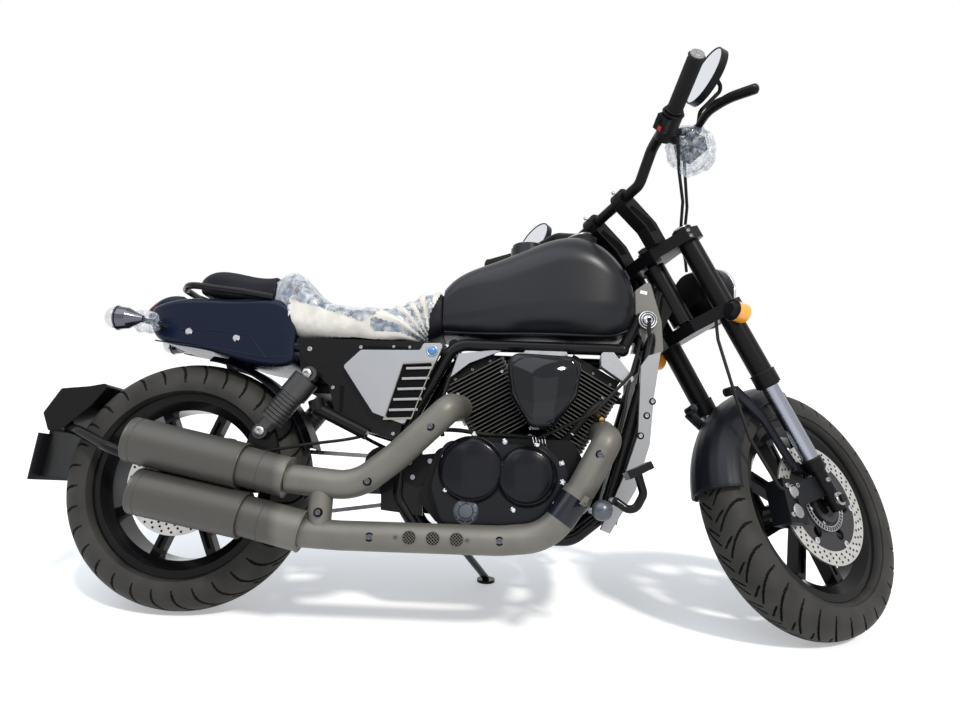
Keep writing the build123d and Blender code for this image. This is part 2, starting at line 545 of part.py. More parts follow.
arm_shapes.append(rod((PIVOT_X, -84, PIVOT_Z), (PIVOT_X, 84, PIVOT_Z), 26))
arm_shapes.append(beam((PIVOT_X - 110, 0, PIVOT_Z), (PIVOT_X - 20, 0, PIVOT_Z), 150, 40))
rear_axle = rod((0, -AXLE_END, TYRE_RADIUS), (0, AXLE_END, TYRE_RADIUS), AXLE_RADIUS)
arm_shapes.append(rear_axle)
arm_shapes.append(rod((PIVOT_X, -FRAME_HALF + 9.3, PIVOT_Z), (PIVOT_X, FRAME_HALF - 9.3, PIVOT_Z), 12))
swingarm = fused(*arm_shapes) - frame


# ------------------------------------------------------------------ shock absorbers
def along(start, end, distance):
    start, end = Vector(start), Vector(end)
    return start + (end - start).normalized() * distance


SPRING_COILS = 8
shocks = []
for side, sign in SIDES:
    top = Vector(SHOCK_TOP[0], sign * SHOCK_OUT, SHOCK_TOP[1])
    low = Vector(SHOCK_LOW[0], sign * SHOCK_OUT, SHOCK_LOW[1])
    length = (top - low).length
    can = rod(along(low, top, length - 66), along(low, top, length - 14), 34)
    core = rod(along(low, top, 12), along(low, top, length - 10), 20)
    rings = []
    coil_room = length - 66 - 40
    for number in range(SPRING_COILS):
        at = 36 + number * coil_room / (SPRING_COILS - 0.5)
        rings.append(rod(along(low, top, at), along(low, top, at + 8), 30))
    eyes = []
    for eye in (top, low):
        eyes.append(rod(eye - Vector(0, 14, 0), eye + Vector(0, 14, 0), 18))
    shock = fused(can, core, *rings, *eyes)
    for eye in (top, low):
        shock = shock - rod(eye - Vector(0, 40, 0), eye + Vector(0, 40, 0), 9 + AXLE_CLEARANCE)
    shocks.append(shock - subframe - swingarm)

# ------------------------------------------------------------------ engine
case_outline = [(600, 300), (640, 420), (760, 452), (968, 452), (1006, 380), (990, 300), (940, 244), (650, 244)]
engine_case = slab(case_outline, -ENGINE_HALF_WIDTH + 6, ENGINE_HALF_WIDTH - 6, 26) - frame - swingarm


def cylinder(lean):
    """One finned cylinder with its head and cover, leaning from the vertical (ahead is positive)."""
    up = Vector(sin(radians(lean)), 0, cos(radians(lean)))
    place = Plane(origin=(CRANK_X, 0, CRANK_Z), x_dir=(0, 1, 0), z_dir=up)
    parts = [Pos(0, 0, 96) * Cylinder(62, 190, align=min_align)]
    for number in range(FINS):
        inset = 12 if number < BARREL_FINS else 0
        parts.append(Pos(0, 0, 118 + number * FIN_PITCH) * Box(CYLINDER_WIDTH - inset, CYLINDER_DEPTH - inset,
                                                               FIN_THICKNESS, align=min_align))
    head_low = 118 + BARREL_FINS * FIN_PITCH
    head_high = 118 + FINS * FIN_PITCH
    parts.append(Pos(0, 0, head_low) * Box(CYLINDER_WIDTH - 40, CYLINDER_DEPTH - 40, head_high - head_low,
                                           align=min_align))
    parts.append(Pos(0, 0, head_high - 6) * Box(CYLINDER_WIDTH - 30, CYLINDER_DEPTH - 34, 26, align=min_align))
    return place * fused(*parts)


rear_cylinder = cylinder(-V_HALF_ANGLE)
front_cylinder = cylinder(V_HALF_ANGLE)
cylinders = [rear_cylinder - engine_case - frame, front_cylinder - engine_case - frame - rear_cylinder]
TRIM_OUT = 98

# (x, z, radius, how far out from the case)
COVERS_RIGHT = [(727, 373, 76, 44), (858, 362, 70, 40)]
COVERS_LEFT = [(858, 362, 78, 34), (690, 356, 62, 26)]
COVER_ROUND = 16
cover_base = ENGINE_HALF_WIDTH - 6


def cover(x, z, radius, depth, sign):
    """A round cover with a softened rim, standing out from the case."""
    plate = disc((x, z), radius, sign * cover_base, sign * (cover_base + depth))
    rim_edge = plate.edges().filter_by(GeomType.CIRCLE).sort_by(Axis.Y)[-1 if sign > 0 else 0]
    return fillet(rim_edge, COVER_ROUND)


right_covers = [cover(x, z, r, depth, -1) for x, z, r, depth in COVERS_RIGHT]
right_base = slab([(632, 330), (660, 440), (900, 436), (958, 380), (940, 262), (800, 236), (662, 246)],
                  -cover_base - 24, -cover_base, 30)
left_covers = [cover(x, z, r, depth, 1) for x, z, r, depth in COVERS_LEFT]
engine_covers = [fused(right_base, *right_covers) - frame, fused(*left_covers) - frame]

# air cleaner: a shield-shaped box in the V, out to the right
AIR_OUT = 226
AIR_ROUND = 20
air_outline = [(800, 646), (980, 640), (968, 546), (914, 473), (860, 471), (814, 541)]
air_box = slab(air_outline, -AIR_OUT, -AIR_OUT + 70, 30)
air_box = fillet(air_box.faces().sort_by(Axis.Y)[0].edges(), AIR_ROUND)
air_neck = rod((886, -AIR_OUT + 70, 570), (886, -40, 580), 34)
air_cleaner = fused(air_box, air_neck) - cylinders - frame

# ------------------------------------------------------------------ tank and seats
TANK_STATIONS = [  # x, z low, z high, half width, corner radius
    (636, 716, 838, 96, 46),
    (742, 708, 906, 122, 66),
    (880, 708, 966, 140, 84),
    (1010, 706, 978, 146, 90),
    (1075, 712, 934, 134, 88),
    (1118, 756, 868, 96, 54),
]
fuel_tank = skin(TANK_STATIONS) - frame
CAP_X, CAP_RADIUS = 850, 42
CAP_SEAT_Z = 974
INSTRUMENT_STATIONS = [
    (924, 950, 976, 40, 12),
    (962, 950, 1004, 50, 22),
    (1002, 950, 1014, 52, 24),
    (1030, 950, 1004, 48, 22),
]
filler = rod((CAP_X, 0, CAP_SEAT_Z - 30), (CAP_X, 0, CAP_SEAT_Z), CAP_RADIUS + 4)
CAP_THICKNESS = 9
CAP_HINGE = Vector(CAP_X + CAP_RADIUS + 5, 0, CAP_SEAT_Z + SEAT_GAP + 5)
HINGE_RADIUS = 5
HINGE_PIN = 2.5


def across(centre, y_from, y_to, radius):
    """A round bar across the bike, at a centre's x and z."""
    return rod((centre.X, y_from, centre.Z), (centre.X, y_to, centre.Z), radius)


hinge_lug = [(CAP_HINGE.X - 6, CAP_SEAT_Z - 16), (CAP_HINGE.X + 6, CAP_SEAT_Z - 16),
             (CAP_HINGE.X + 4, CAP_HINGE.Z + 3), (CAP_HINGE.X - 4, CAP_HINGE.Z + 3)]
fuel_tank = fused(fuel_tank, filler, across(CAP_HINGE, -21, 21, HINGE_PIN),
                  slab(hinge_lug, -21, -14), slab(hinge_lug, 14, 21))
fuel_cap = rod((CAP_X, 0, CAP_SEAT_Z + SEAT_GAP), (CAP_X, 0, CAP_SEAT_Z + SEAT_GAP + CAP_THICKNESS), CAP_RADIUS)
fuel_cap = fused(fuel_cap, across(CAP_HINGE, -13, 13, HINGE_RADIUS),
                 Pos(CAP_HINGE.X - 7, 0, CAP_HINGE.Z) * Box(12, 24, 8))
fuel_cap = fuel_cap - across(CAP_HINGE, -14, 14, HINGE_PIN + AXLE_CLEARANCE)
instrument = skin(INSTRUMENT_STATIONS) - fuel_tank
SEAT_STATIONS = [  # same columns as the tank's
    (200, 740, 862, 84, 34),
    (228, 722, 876, 96, 40),
    (262, 700, 866, 112, 42),
    (318, 689, 808, 126, 38),
    (400, 687, 776, 136, 34),
    (480, 687, 772, 138, 34),
    (552, 689, 800, 128, 38),
    (606, 700, 832, 106, 42),
    (TANK_STATIONS[0][0] - SEAT_GAP, 718, 836, 94, 40),
]
rider_seat = skin(SEAT_STATIONS) - fuel_tank
TAIL_STATIONS = [
    (-134, 744, 765, 58, 8),
    (-110, 686, 771, 80, 14),
    (-10, 656, 785, 104, 16),
    (150, 620, 788, 110, 16),
    (222, 612, 782, 110, 16),
    (264, 624, 706, 106, 14),
]
tail_cover = skin(TAIL_STATIONS) - rider_seat - subframe
PILLION_STATIONS = [
    (-8, 806, 838, 72, 12),
    (14, 798, 852, 88, 20),
    (100, 786, 854, 96, 22),
    (198, 784, 852, 90, 22),
]
pillion_seat = skin(PILLION_STATIONS) - tail_cover - rider_seat

# grab rail: a flat loop round the pillion pad
grab_rail = tube([(196, -104, 792), (120, -118, 800), (-24, -104, 818), (-62, -40, 822), (-62, 40, 822),
                  (-24, 104, 818), (120, 118, 800), (196, 104, 792)], 9, [60, 60, 34, 34, 60, 60])
grab_rail = grab_rail - pillion_seat - tail_cover - rider_seat

# tail lamp in the cover's rear, and two indicators on stems
lamp_hump = skin([(-158, 744, 772, 34, 10), (-120, 752, 800, 44, 18), (-70, 770, 806, 40, 14)]) - tail_cover
rear_lamps = [lamp_hump]
LAMP_DROP = [(-46, 0), (-44, 14), (-34, 24), (-14, 29), (8, 26), (28, 15), (44, 8), (44, 0)]  # (along, radius)
for side, sign in SIDES:
    stem_out = tube([(-70, sign * 78, 706), (-92, sign * 122, 710), (-128, sign * 150, 712)], 7, 24)
    drop = revolve(make_face(Polyline(*[(x, r) for x, r in LAMP_DROP], close=True)), axis=Axis.X)
    rear_lamps.append((stem_out + Pos(-150, sign * 152, 712) * drop) - tail_cover)

# black plates over the subframe, and the side panels with their louvred inserts
PLATE_OUT = 113
PLATE_THICKNESS = 8
plate_outline = [(270, 684), (600, 684), (566, 560), (548, 452), (532, 438), (410, 472), (384, 502), (365, 565),
                 (316, 606), (290, 640)]
side_plates = []
for side, sign in SIDES:
    near, far = sign * PLATE_OUT, sign * (PLATE_OUT + PLATE_THICKNESS)
    side_plates.append(slab(plate_outline, min(near, far), max(near, far), 8) - subframe - frame - rider_seat)
PANEL_OUT = 140
panel_outline = [(401, 612), (442, 654), (588, 658), (596, 676), (646, 678), (632, 640), (560, 474), (482, 500)]
grille_outline = [(548, 622), (622, 628), (576, 492), (512, 488)]
side_panels = []
for side, sign in SIDES:
    near, far = sign * (PLATE_OUT + PLATE_THICKNESS), sign * PANEL_OUT
    body = slab(panel_outline, min(near, far), max(near, far), 8)
    recess = slab(grille_outline, min(far, far - sign * 7), max(far, far - sign * 7), 6)
    louvres = []
    for number in range(5):
        z = 508 + number * 26
        louvres.append(beam((520 + number * 9, sign * (PANEL_OUT - 7), z),
                            (590 + number * 8, sign * (PANEL_OUT - 7), z + 4), 8, 6))
    side_panels.append(((body - recess) + louvres) - subframe - frame)

# ------------------------------------------------------------------ radiator and headstock
radiator = beam((1060, 0, 262), (1160, 0, 640), 200, 34) - frame
guard_outline = [(1178, 676), (1148, 666), (1130, 640), (1122, 470), (1092, 380), (1034, 246), (1056, 238),
                 (1116, 340), (1150, 450), (1160, 560)]
radiator_guards = []
for side, sign in SIDES:
    near, far = sign * 112, sign * 128
    radiator_guards.append(slab(guard_outline, min(near, far), max(near, far)) - frame - radiator)
HEAD_COVER_OUT = 62
# (ahead of, below) the frame's neck
HEAD_COVER = [(-64, -35), (-26, -5), (4, -115), (8, -195), (-28, -209), (-62, -125)]
IGNITION = (-34, -115)
headstock_outline = [(NECK_LOW.X + x, NECK_LOW.Z + z) for x, z in HEAD_COVER]
headstock_covers = []
for side, sign in SIDES:
    near, far = sign * 36, sign * HEAD_COVER_OUT
    shell = slab(headstock_outline, min(near, far), max(near, far), 10)
    shell += disc((NECK_LOW.X + IGNITION[0], NECK_LOW.Z + IGNITION[1]), 24, min(far, far + sign * 12),
                  max(far, far + sign * 12))
    headstock_covers.append(shell - frame - fuel_tank)

# ------------------------------------------------------------------ exhaust
OUT = -EXHAUST_OUT
upper_line = [(312, 334), (470, 322), (556, 392), (674, 510)]
upper_pipe = tube([(x, OUT, z) for x, z in upper_line] + [(688, -92, 524)], PIPE_RADIUS, [120, 90, 26])


def muffler(rear, step, front):
    """A two-step silencer from its open rear end to its neck, all (x, z) centres."""
    points = [Vector(x, OUT, z) for x, z in (rear, step, front)]
    wide = rod(points[0], points[1], MUFFLER_RADIUS)
    neck = rod(points[1], points[2], MUFFLER_NECK_RADIUS)
    bore = rod(along(points[0], points[1], -1), along(points[0], points[1], 60), MUFFLER_RADIUS - 18)
    return fused(wide, neck) - bore


upper_muffler = muffler((-60, 408), (204, 358), (312, 336))
exhaust_upper = fused(upper_pipe, upper_muffler)
lower_line = [(352, 216), (440, 213), (800, 216), (905, 228), (982, 340), (1038, 448)]
lower_pipe = tube([(x, OUT, z) for x, z in lower_line] + [(1042, -92, 474)], PIPE_RADIUS, [150, 300, 110, 200, 26])
lower_muffler = muffler((-34, 292), (217, 248), (356, 218))
crossover = rod((392, OUT, 226), (392, OUT, 318), 27)
exhaust_lower = fused(lower_pipe, lower_muffler, crossover) - exhaust_upper
exhaust_upper = exhaust_upper - cylinders - frame
exhaust_lower = exhaust_lower - cylinders - frame

# ------------------------------------------------------------------ feet, brake and number plate
foot_controls = []
for side, sign in SIDES:
    arm = tube([(1046, sign * FRAME_HALF, 284), (1036, sign * 170, 288), (1022, sign * 290, 291)], 13, 60)
    arm += rod((1022, sign * 262, 291), (1008, sign * 340, 293), 17)
    arm += Pos(1007, sign * 344, 293) * Sphere(20)
    arm += rod((1062, sign * FRAME_HALF, 316), (1047, sign * 276, 312), 9)
    arm += tube([(1047, sign * 276, 312), (1082, sign * 280, 288), (1104, sign * 284, 330),
                 (1090, sign * 290, 374)], 9, [20, 20])
    arm += beam((1066, sign * 290, 366), (1116, sign * 290, 392), 62, 16)
    foot_controls.append(arm - frame - exhaust_lower - engine_covers - radiator_guards - radiator)

plate_carrier = tube([(2, -AXLE_END - 4, TYRE_RADIUS + 30), (-150, -AXLE_END - 4, 392), (-262, -96, 432),
                      (-344, -24, 446)], 13, [90, 60])
plate_carrier += disc((0, TYRE_RADIUS + 10), 34, -AXLE_END - 7, -AXLE_END)
plate_carrier += slab([(-372, 476), (-334, 540), (-262, 548), (-206, 560), (-250, 500), (-318, 436), (-352, 430)],
                      -78, 78, 8)
number_plate = beam((-372, 0, 308), (-362, 0, 424), 190, 3)
plate_carrier = plate_carrier + beam((-364.4, 0, 317.4), (-354.1, 0, 437.4), 120, 10)
plate_carrier = plate_carrier - number_plate - swingarm

MUDGUARD_INNER = TYRE_RADIUS + 18
mudguard_ring = turned([(-60, MUDGUARD_INNER - 10), (-40, MUDGUARD_INNER + 4), (40, MUDGUARD_INNER + 4),
                        (60, MUDGUARD_INNER - 10), (60, MUDGUARD_INNER - 14), (40, MUDGUARD_INNER),
                        (-40, MUDGUARD_INNER), (-60, MUDGUARD_INNER - 14)], REAR_AXLE)
mudguard_cut = [(0, TYRE_RADIUS)]
for step in range(4):
    angle = radians(18 + step * 22)
    mudguard_cut.append((470 * cos(angle), TYRE_RADIUS + 470 * sin(angle)))
mudguard_stay = Pos(100, 0, 636) * Box(60, 60, 24)
rear_mudguard = (mudguard_ring & slab(mudguard_cut, -61, 61)) + mudguard_stay
rear_mudguard = rear_mudguard - swingarm - subframe - tail_cover

rear_y = -REAR_DISC_OFFSET
rear_caliper = Pos(96, rear_y - 4, 400) * Box(66, 44, 54)
rear_caliper -= disc((0, TYRE_RADIUS), REAR_DISC_RADIUS + MOVING_GAP, rear_y - 9, rear_y + 9)
rear_caliper += beam((40, rear_y - 22, TYRE_RADIUS + 28), (96, rear_y - 22, 392), 8, 34)
rear_caliper = rear_caliper - swingarm

# final drive: a chain round the rear sprocket and the gearbox sprocket
CHAIN_FRONT = (628, 352)
FRONT_SPROCKET = 44
CHAIN_BAND = 12


def belt_outline(grow):
    rear_radius = SPROCKET_RADIUS + MOVING_GAP / 4 + grow
    front_radius = FRONT_SPROCKET + grow
    y0, y1 = sprocket_y[0] - 4, sprocket_y[1] + 4
    rear_disc_shape = disc((0, TYRE_RADIUS), rear_radius, y0, y1)
    front_disc_shape = disc(CHAIN_FRONT, front_radius, y0, y1)
    dx, dz = CHAIN_FRONT[0], CHAIN_FRONT[1] - TYRE_RADIUS
    span = hypot(dx, dz)
    heading = atan2(dz, dx)
    spread = atan2(sqrt(span ** 2 - (rear_radius - front_radius) ** 2), rear_radius - front_radius)
    corners = []
    for turn, order in ((spread, 1), (-spread, -1)):
        angle = heading + turn
        first = (rear_radius * cos(angle), TYRE_RADIUS + rear_radius * sin(angle))
        second = (CHAIN_FRONT[0] + front_radius * cos(angle), CHAIN_FRONT[1] + front_radius * sin(angle))
        corners += [first, second][::order]
    return fused(rear_disc_shape, front_disc_shape, slab(corners, y0, y1))


drive_chain = (belt_outline(CHAIN_BAND) - belt_outline(0)) - swingarm - frame - engine_case - engine_covers

# ------------------------------------------------------------------ trim and small gear
trim_outline = [(663, 599), (681, 660), (800, 676), (709, 637)]
engine_trim = []
for side, sign in SIDES:
    near, far = sign * TRIM_OUT, sign * (TRIM_OUT + 6)
    engine_trim.append(slab(trim_outline, min(near, far), max(near, far)) - frame - cylinders)
coil_outline = [(1035, 674), (1066, 674), (1118, 608), (1100, 594), (1035, 638)]
coil_cover = slab(coil_outline, -114, -84, 8) - frame - cylinders - radiator_guards
rear_reservoir = rod((330, -130, 512), (470, -130, 448), 15) + rod((346, -130, 500), (338, -130, 526), 19)
rear_reservoir = rear_reservoir - side_plates - shocks - side_panels

# cables and hoses, each held at both ends, as round bars through (height, out, ahead) or (x, y, z)
CABLE_RADIUS = 4
BAR_CABLES = [
    [(1262, -285, -62), (1205, -232, -40), (1150, -172, 4), (1098, -104, 34), (1040, -60, 60)],
    [(1258, -268, -20), (1220, -205, 30), (1150, -134, 70), (1080, -62, 84), (1010, -30, 80)],
    [(1262, 285, -62), (1205, 232, -40), (1150, 172, 4), (1098, 104, 34), (1040, 60, 60)],
]
CABLES_TO = headlight
BRAKE_HOSE = [(858, -96, -2), (800, -100, -48), (650, -102, -104), (554, -100, -130), (430, -98, -118), (400, -92, -84)]
CLUTCH_CABLE = [NECK_LOW + Vector(-46, -20, -133), NECK_LOW + Vector(-58, -84, -185), (1108, -138, 620),
                (1014, -158, 517), (931, -150, 476), (880, -140, 452)]
bar_cables = [tube([on_fork(*p) for p in line], CABLE_RADIUS, 24) - hand_controls - fork - CABLES_TO - handlebar
              for line in BAR_CABLES]
brake_hose = tube([on_fork(*p) for p in BRAKE_HOSE], CABLE_RADIUS, 26) - fork - front_caliper - front_fender
clutch_cable = tube(CLUTCH_CABLE, CABLE_RADIUS, 24) - frame - engine_covers - cylinders - coil_cover
clutch_cable = clutch_cable - headstock_covers - radiator_guards

# ------------------------------------------------------------------ bodies
ROOT = {
    "frame": frame, "subframe": subframe, "swingarm": swingarm, "shocks": shocks, "engine_case": engine_case,
    "engine_covers": engine_covers, "cylinders": cylinders, "air_cleaner": air_cleaner, "fuel_tank": fuel_tank, "instrument": instrument,
    "rider_seat": rider_seat, "pillion_seat": pillion_seat, "grab_rail": grab_rail, "tail_cover": tail_cover,
    "rear_lamps": rear_lamps, "side_panels": side_panels, "radiator": radiator,
    "radiator_guards": radiator_guards, "headstock_covers": headstock_covers, "exhaust_upper": exhaust_upper,
    "exhaust_lower": exhaust_lower, "foot_controls": foot_controls, "plate_carrier": plate_carrier,
    "number_plate": number_plate, "rear_mudguard": rear_mudguard, "rear_caliper": rear_caliper,
    "drive_chain": drive_chain, "side_plates": side_plates, "engine_trim": engine_trim,
    "coil_cover": coil_cover, "rear_reservoir": rear_reservoir, "clutch_cable": clutch_cable,
}
CAP = {"fuel_cap": fuel_cap}
STAND = {"side_stand": side_stand}
REAR_WHEEL = {"rear_tyre": rear_tyre, "rear_rim": rear_rim, "rear_disc": rear_disc, "rear_sprocket": rear_sprocket}
STEERING = {
    "fork": fork, "fork_sliders": fork_sliders, "fork_feet": fork_feet, "headlight": headlight,
    "headlight_lens": headlight_lens, "risers": risers, "handlebar": handlebar, "grips": grips,
    "hand_controls": hand_controls, "mirrors": mirrors,
    "front_indicators": front_indicators, "front_fender": front_fender, "front_caliper": front_caliper,
    "bar_cables": bar_cables, "brake_hose": brake_hose,
}
FRONT_WHEEL = {"front_tyre": front_tyre, "front_rim": front_rim, "front_disc": front_disc}


def solids_of(shape):
    if isinstance(shape, (list, tuple)):
        return [solid for item in shape for solid in solids_of(item)]
    return list(shape.solids())


placed = {}
for group in (ROOT, CAP, REAR_WHEEL, STAND):
    for name, shape in group.items():
        placed[name] = [LEANED * solid for solid in solids_of(shape)]
for group in (STEERING, FRONT_WHEEL):
    for name, shape in group.items():
        placed[name] = [LEANED * solid.rotate(STEER_AXIS, STEER_STOP) for solid in solids_of(shape)]

whole = Compound([solid for solids in placed.values() for solid in solids]).bounding_box()
TO_ORIGIN = Location((-(whole.min.X + whole.max.X) / 2, -(whole.min.Y + whole.max.Y) / 2, 0))


def main():
    os.makedirs("parts", exist_ok=True)
    for name, solids in placed.items():
        moved = [TO_ORIGIN * solid for solid in solids]
        export_step(moved[0] if len(moved) == 1 else Compound(moved), f"parts/{name}.step")


main()
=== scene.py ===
"""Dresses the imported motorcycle: materials, tyres with tread, hoses, chain, clear film, bolts and trim.

Most pieces are drawn in metres on the upright machine (+X forward, +Y left, +Z up, origin on the
ground under the rear axle, steering straight) and set in place by BIKE, or by STEERED for what turns.
"""
import json
from math import atan2, cos, degrees, hypot, pi, radians, sin, sqrt

import bmesh
import bpy
from mathutils import Matrix, Vector, noise


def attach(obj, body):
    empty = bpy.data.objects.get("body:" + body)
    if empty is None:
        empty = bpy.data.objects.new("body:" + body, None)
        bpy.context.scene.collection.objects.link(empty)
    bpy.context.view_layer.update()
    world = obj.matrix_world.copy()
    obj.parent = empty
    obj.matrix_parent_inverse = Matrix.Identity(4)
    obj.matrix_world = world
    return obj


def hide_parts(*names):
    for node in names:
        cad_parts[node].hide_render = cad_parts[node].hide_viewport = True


noise.seed_set(7)               # noise_vector draws on this, and 0 would be the time of day
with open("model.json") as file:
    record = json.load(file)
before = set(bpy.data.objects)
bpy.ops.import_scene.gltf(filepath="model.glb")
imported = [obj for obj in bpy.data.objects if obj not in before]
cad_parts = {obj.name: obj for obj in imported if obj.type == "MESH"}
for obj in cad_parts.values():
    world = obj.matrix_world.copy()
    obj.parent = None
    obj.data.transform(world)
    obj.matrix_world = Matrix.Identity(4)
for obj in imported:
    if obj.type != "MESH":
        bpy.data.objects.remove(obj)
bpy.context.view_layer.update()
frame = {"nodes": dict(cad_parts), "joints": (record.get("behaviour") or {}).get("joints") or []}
NODES = frame["nodes"]

# ------------------------------------------------------------------ sizes shared with the frame
WHEELBASE = 1.559
TRAIL = 0.120
RAKE = radians(27.7)
TYRE_RADIUS = 0.312
FORK_AHEAD = 0.0388
FORK_SPREAD = 0.105

JOINT = {joint["name"]: joint for joint in frame["joints"]}
STOP = radians(-JOINT["steering"]["range_deg"][0] / 2)
STEER_FOOT = Vector((WHEELBASE + TRAIL, 0, 0))
STEER_UP = Vector((-sin(RAKE), 0, cos(RAKE)))
STEER_AHEAD = Vector((cos(RAKE), 0, sin(RAKE)))


def bike_matrix():
    """Upright machine to the parked one, from where its rear axle and steering axis are."""
    side = Vector(JOINT["rear_wheel"]["axis"])
    up = Vector(JOINT["steering"]["axis"])
    ahead = side.cross(up)
    x = cos(RAKE) * ahead - sin(RAKE) * up
    z = sin(RAKE) * ahead + cos(RAKE) * up
    turn = Matrix((x, side, z)).transposed().to_4x4()
    place = Matrix.Translation(Vector(JOINT["rear_wheel"]["pos_m"]))
    return place @ turn @ Matrix.Translation((0, 0, -TYRE_RADIUS))


BIKE = bike_matrix()
STEERED = (BIKE @ Matrix.Translation(STEER_FOOT) @ Matrix.Rotation(STOP, 4,
    STEER_UP) @ Matrix.Translation(-STEER_FOOT))
FRONT_AXLE = Vector((WHEELBASE, 0, TYRE_RADIUS))
REAR_AXLE = Vector((0, 0, TYRE_RADIUS))


def on_fork(height, out, ahead=FORK_AHEAD):
    """A point up the steering axis by height, out to the left and ahead of it, all in metres."""
    return STEER_FOOT + STEER_UP * height + STEER_AHEAD * ahead + Vector((0, out, 0))


# ------------------------------------------------------------------ materials
def grain(tree, scale, detail, distortion=0.0):
    """A noise value over the piece's own coordinates."""
    place = tree.nodes.new("ShaderNodeTexCoord").outputs["Object"]
    texture = tree.nodes.new("ShaderNodeTexNoise")
    texture.inputs["Scale"].default_value = scale
    texture.inputs["Detail"].default_value = detail
    texture.inputs["Distortion"].default_value = distortion
    tree.links.new(place, texture.inputs["Vector"])
    return texture.outputs["Fac"]


def ramped(tree, value, low, high, low_color, high_color):
    """A colour that goes from one to another between two values."""
    ramp = tree.nodes.new("ShaderNodeValToRGB")
    for element, position, color in zip(ramp.color_ramp.elements, (low, high), (low_color, high_color)):
        element.position = position
        element.color = (*color, 1)
    tree.links.new(value, ramp.inputs["Fac"])
    return ramp.outputs["Color"]


def shader(name, color, rough=0.5, metal=0.0, coat=0.0, coat_rough=0.1, specular=0.5, alpha=1.0, spots=0.0,
        spot_scale=40.0, rough_spread=0.0, bump=0.0, bump_scale=200.0, bevel=0.0, transmission=0.0,
        ior=1.45):
    """A Principled material with blotches of colour, uneven roughness, fine bump and softened edges."""
    material = bpy.data.materials.new(name)
    material.use_nodes = True
    tree = material.node_tree
    nodes, links = tree.nodes, tree.links
    principled = nodes["Principled BSDF"]
    plain = {"Base Color": (*color, 1), "Roughness": rough, "Metallic": metal, "Coat Weight": coat,
        "Coat Roughness": coat_rough, "Specular IOR Level": specular, "Alpha": alpha,
        "Transmission Weight": transmission, "IOR": ior}
    for key, value in plain.items():
        principled.inputs[key].default_value = value
    if spots:
        dark = [c * (1 - spots) for c in color]
        pale = [min(1, c * (1 + spots) + 0.01 * spots) for c in color]
        blotches = ramped(tree, grain(tree, spot_scale, 5), 0.3, 0.7, dark, pale)
        links.new(blotches, principled.inputs["Base Color"])
    if rough_spread:
        spread = nodes.new("ShaderNodeMapRange")
        spread.inputs["To Min"].default_value = max(0.0, rough - rough_spread)
        spread.inputs["To Max"].default_value = min(1.0, rough + rough_spread)
        links.new(grain(tree, 18, 6), spread.inputs["Value"])
        links.new(spread.outputs["Result"], principled.inputs["Roughness"])
    normal = None
    if bevel:
        soft = nodes.new("ShaderNodeBevel")
        soft.samples = 4
        soft.inputs["Radius"].default_value = bevel
        normal = soft.outputs["Normal"]
    if bump:
        relief = nodes.new("ShaderNodeBump")
        relief.inputs["Strength"].default_value = bump
        relief.inputs["Distance"].default_value = 0.001
        links.new(grain(tree, bump_scale, 4), relief.inputs["Height"])
        if normal:
            links.new(normal, relief.inputs["Normal"])
        normal = relief.outputs["Normal"]
    if normal:
        links.new(normal, principled.inputs["Normal"])
    return material


def patchy(material, scale, colors, alphas):
    """Crumpled clear film: colour and clearness change from spot to spot; the white, cloudier spots are
    painted sheen.
    """
    tree = material.node_tree
    clearness = [(alpha, alpha, alpha) for alpha in alphas]
    for socket, density, ends in (("Base Color", scale, colors), ("Alpha", scale * 1.6, clearness)):
        patches = ramped(tree, grain(tree, density, 3, 1.5), 0.36, 0.62, *ends)
        tree.links.new(patches, tree.nodes["Principled BSDF"].inputs[socket])


def two_tone(material, axis, low_color, edge, width):
    """Another base colour below a place along one axis of the parked machine, in metres."""
    nodes, links = material.node_tree.nodes, material.node_tree.links
    principled = nodes["Principled BSDF"]
    apart = nodes.new("ShaderNodeSeparateXYZ")
    links.new(nodes.new("ShaderNodeTexCoord").outputs["Object"], apart.inputs["Vector"])
    ramp = nodes.new("ShaderNodeMapRange")
    ramp.inputs["From Min"].default_value = edge - width
    ramp.inputs["From Max"].default_value = edge + width
    links.new(apart.outputs[axis], ramp.inputs["Value"])
    mix = nodes.new("ShaderNodeMix")
    mix.data_type = "RGBA"
    mix.inputs["A"].default_value = (*low_color, 1)
    mix.inputs["B"].default_value = principled.inputs["Base Color"].default_value
    if principled.inputs["Base Color"].links:
        links.new(principled.inputs["Base Color"].links[0].from_socket, mix.inputs["B"])
    links.new(ramp.outputs["Result"], mix.inputs["Factor"])
    links.new(mix.outputs["Result"], principled.inputs["Base Color"])


